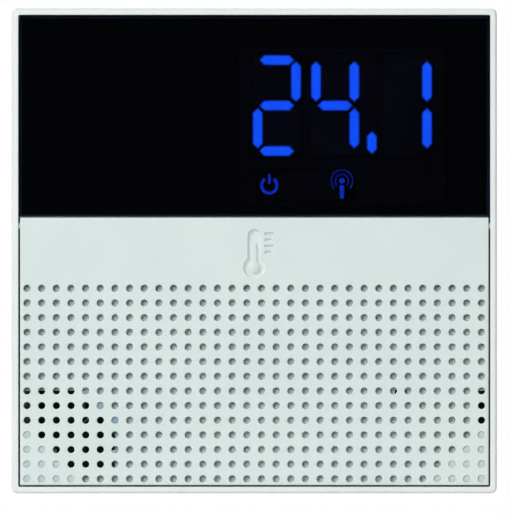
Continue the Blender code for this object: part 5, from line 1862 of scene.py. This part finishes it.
@dataclass
class Studio:
    """The camera, the lights, the white surround and the pale floor."""

    distance: float = 1.6
    field: float = 90.97 * MM           # the taller side of what the camera sees at the object's front
    sensor: float = 36.0
    aim_x: float = 0.12 * MM
    aim_z: float = -1.0 * MM
    ambient: float = 0.17
    dark: float = 0.012
    front: float = 13.0
    key: float = 18.2
    fill: float = 1.5
    low: float = 1.5
    rear: float = 8.0
    floor_drop: float = 0.16
    floor_size: float = 1.1

    def camera(self) -> None:
        """A long lens straight in front of the object."""
        data = bpy.data.cameras.new("camera")
        data.sensor_width = self.sensor
        data.lens = self.sensor * self.distance / self.field
        data.clip_start, data.clip_end = 0.05, 20
        made = bpy.data.objects.new("camera", data)
        front = Extent.of("front_frame").front
        made.location = (self.aim_x, -front - self.distance, self.aim_z)
        made.rotation_euler = (math.pi / 2, 0, 0)
        bpy.context.scene.collection.objects.link(made)
        bpy.context.scene.camera = made

    def light(self, name: str, place: tuple[float, float, float], size: float, power: float) -> None:
        """A square soft light aimed at the object.

        Args:
            name: Its name.
            place: Where it stands.
            size: Its side in metres.
            power: Its power in watts.
        """
        data = bpy.data.lights.new(name, "AREA")
        data.shape = "SQUARE"
        data.size = size
        data.energy = power
        made = bpy.data.objects.new(name, data)
        made.location = place
        made.rotation_euler = (-Vector(place)).to_track_quat("-Z", "Y").to_euler()
        bpy.context.scene.collection.objects.link(made)

    def surround(self) -> None:
        """White to the eye, soft grey as a light, and dark straight in front, where the lens mirrors it."""
        world = bpy.data.worlds.new("studio")
        world.use_nodes = True
        bpy.context.scene.world = world
        tree = world.node_tree
        tree.nodes.clear()
        way = add_node(tree, "ShaderNodeTexCoord").outputs["Generated"]
        ahead = add_node(tree, "ShaderNodeVectorMath", {"operation": "DOT_PRODUCT"},
                         {0: way, 1: (0, -1, 0)}).outputs["Value"]
        level = add_node(tree, "ShaderNodeMapRange", {"interpolation_type": "SMOOTHSTEP"}, {
            "Value": ahead, "From Min": math.cos(math.radians(40)), "From Max": math.cos(math.radians(26)),
            "To Min": self.ambient, "To Max": self.dark,
        }).outputs["Result"]
        lighting = add_node(tree, "ShaderNodeBackground", inputs={
            "Color": (1, 1, 1, 1), "Strength": level}).outputs["Background"]
        seen = add_node(tree, "ShaderNodeBackground", inputs={
            "Color": (1, 1, 1, 1), "Strength": 1.0}).outputs["Background"]
        direct = add_node(tree, "ShaderNodeLightPath").outputs["Is Camera Ray"]
        mixed = add_node(tree, "ShaderNodeMixShader", inputs={0: direct, 1: lighting, 2: seen})
        add_node(tree, "ShaderNodeOutputWorld", inputs={"Surface": mixed.outputs["Shader"]})

    def floor(self) -> None:
        """A pale sheet well below the object."""
        mesh = bmesh.new()
        place = Matrix.Translation((0, 0, CAD_BOX[0].z - self.floor_drop))
        bmesh.ops.create_grid(mesh, x_segments=1, y_segments=1, size=self.floor_size / 2, matrix=place)
        data = bpy.data.meshes.new("floor")
        mesh.to_mesh(data)
        mesh.free()
        data.materials.append(Palette.PALE_FLOOR.material())
        made = bpy.data.objects.new("floor", data)
        bpy.context.scene.collection.objects.link(made)

    def build(self) -> None:
        """Sets up the whole studio."""
        bpy.context.scene.view_settings.view_transform = "Standard"
        bpy.context.scene.view_settings.look = "None"
        self.camera()
        self.surround()
        self.light("front", (-0.29, -1.87, 0.29), 0.4, self.front)
        self.light("key", (-1.15, -0.8, 1.15), 0.3, self.key)
        self.light("fill", (1.0, -0.8, 0.15), 0.8, self.fill)
        self.light("low", (0.1, -0.75, -0.9), 0.6, self.low)
        self.light("rear", (0.4, 1.1, 0.7), 0.9, self.rear)
        self.floor()


def main() -> None:
    """Builds each sub-assembly in order and reports its pieces."""
    logging.basicConfig(level=logging.INFO, format="%(message)s")
    for assembly in (Studio, FrontFrame, GrilleCover, DisplayWindow, Chassis, DisplayBoard, MainsBoard,
                     WallBase, Fasteners):
        assembly().build()


if __name__ == "__main__":
    main()
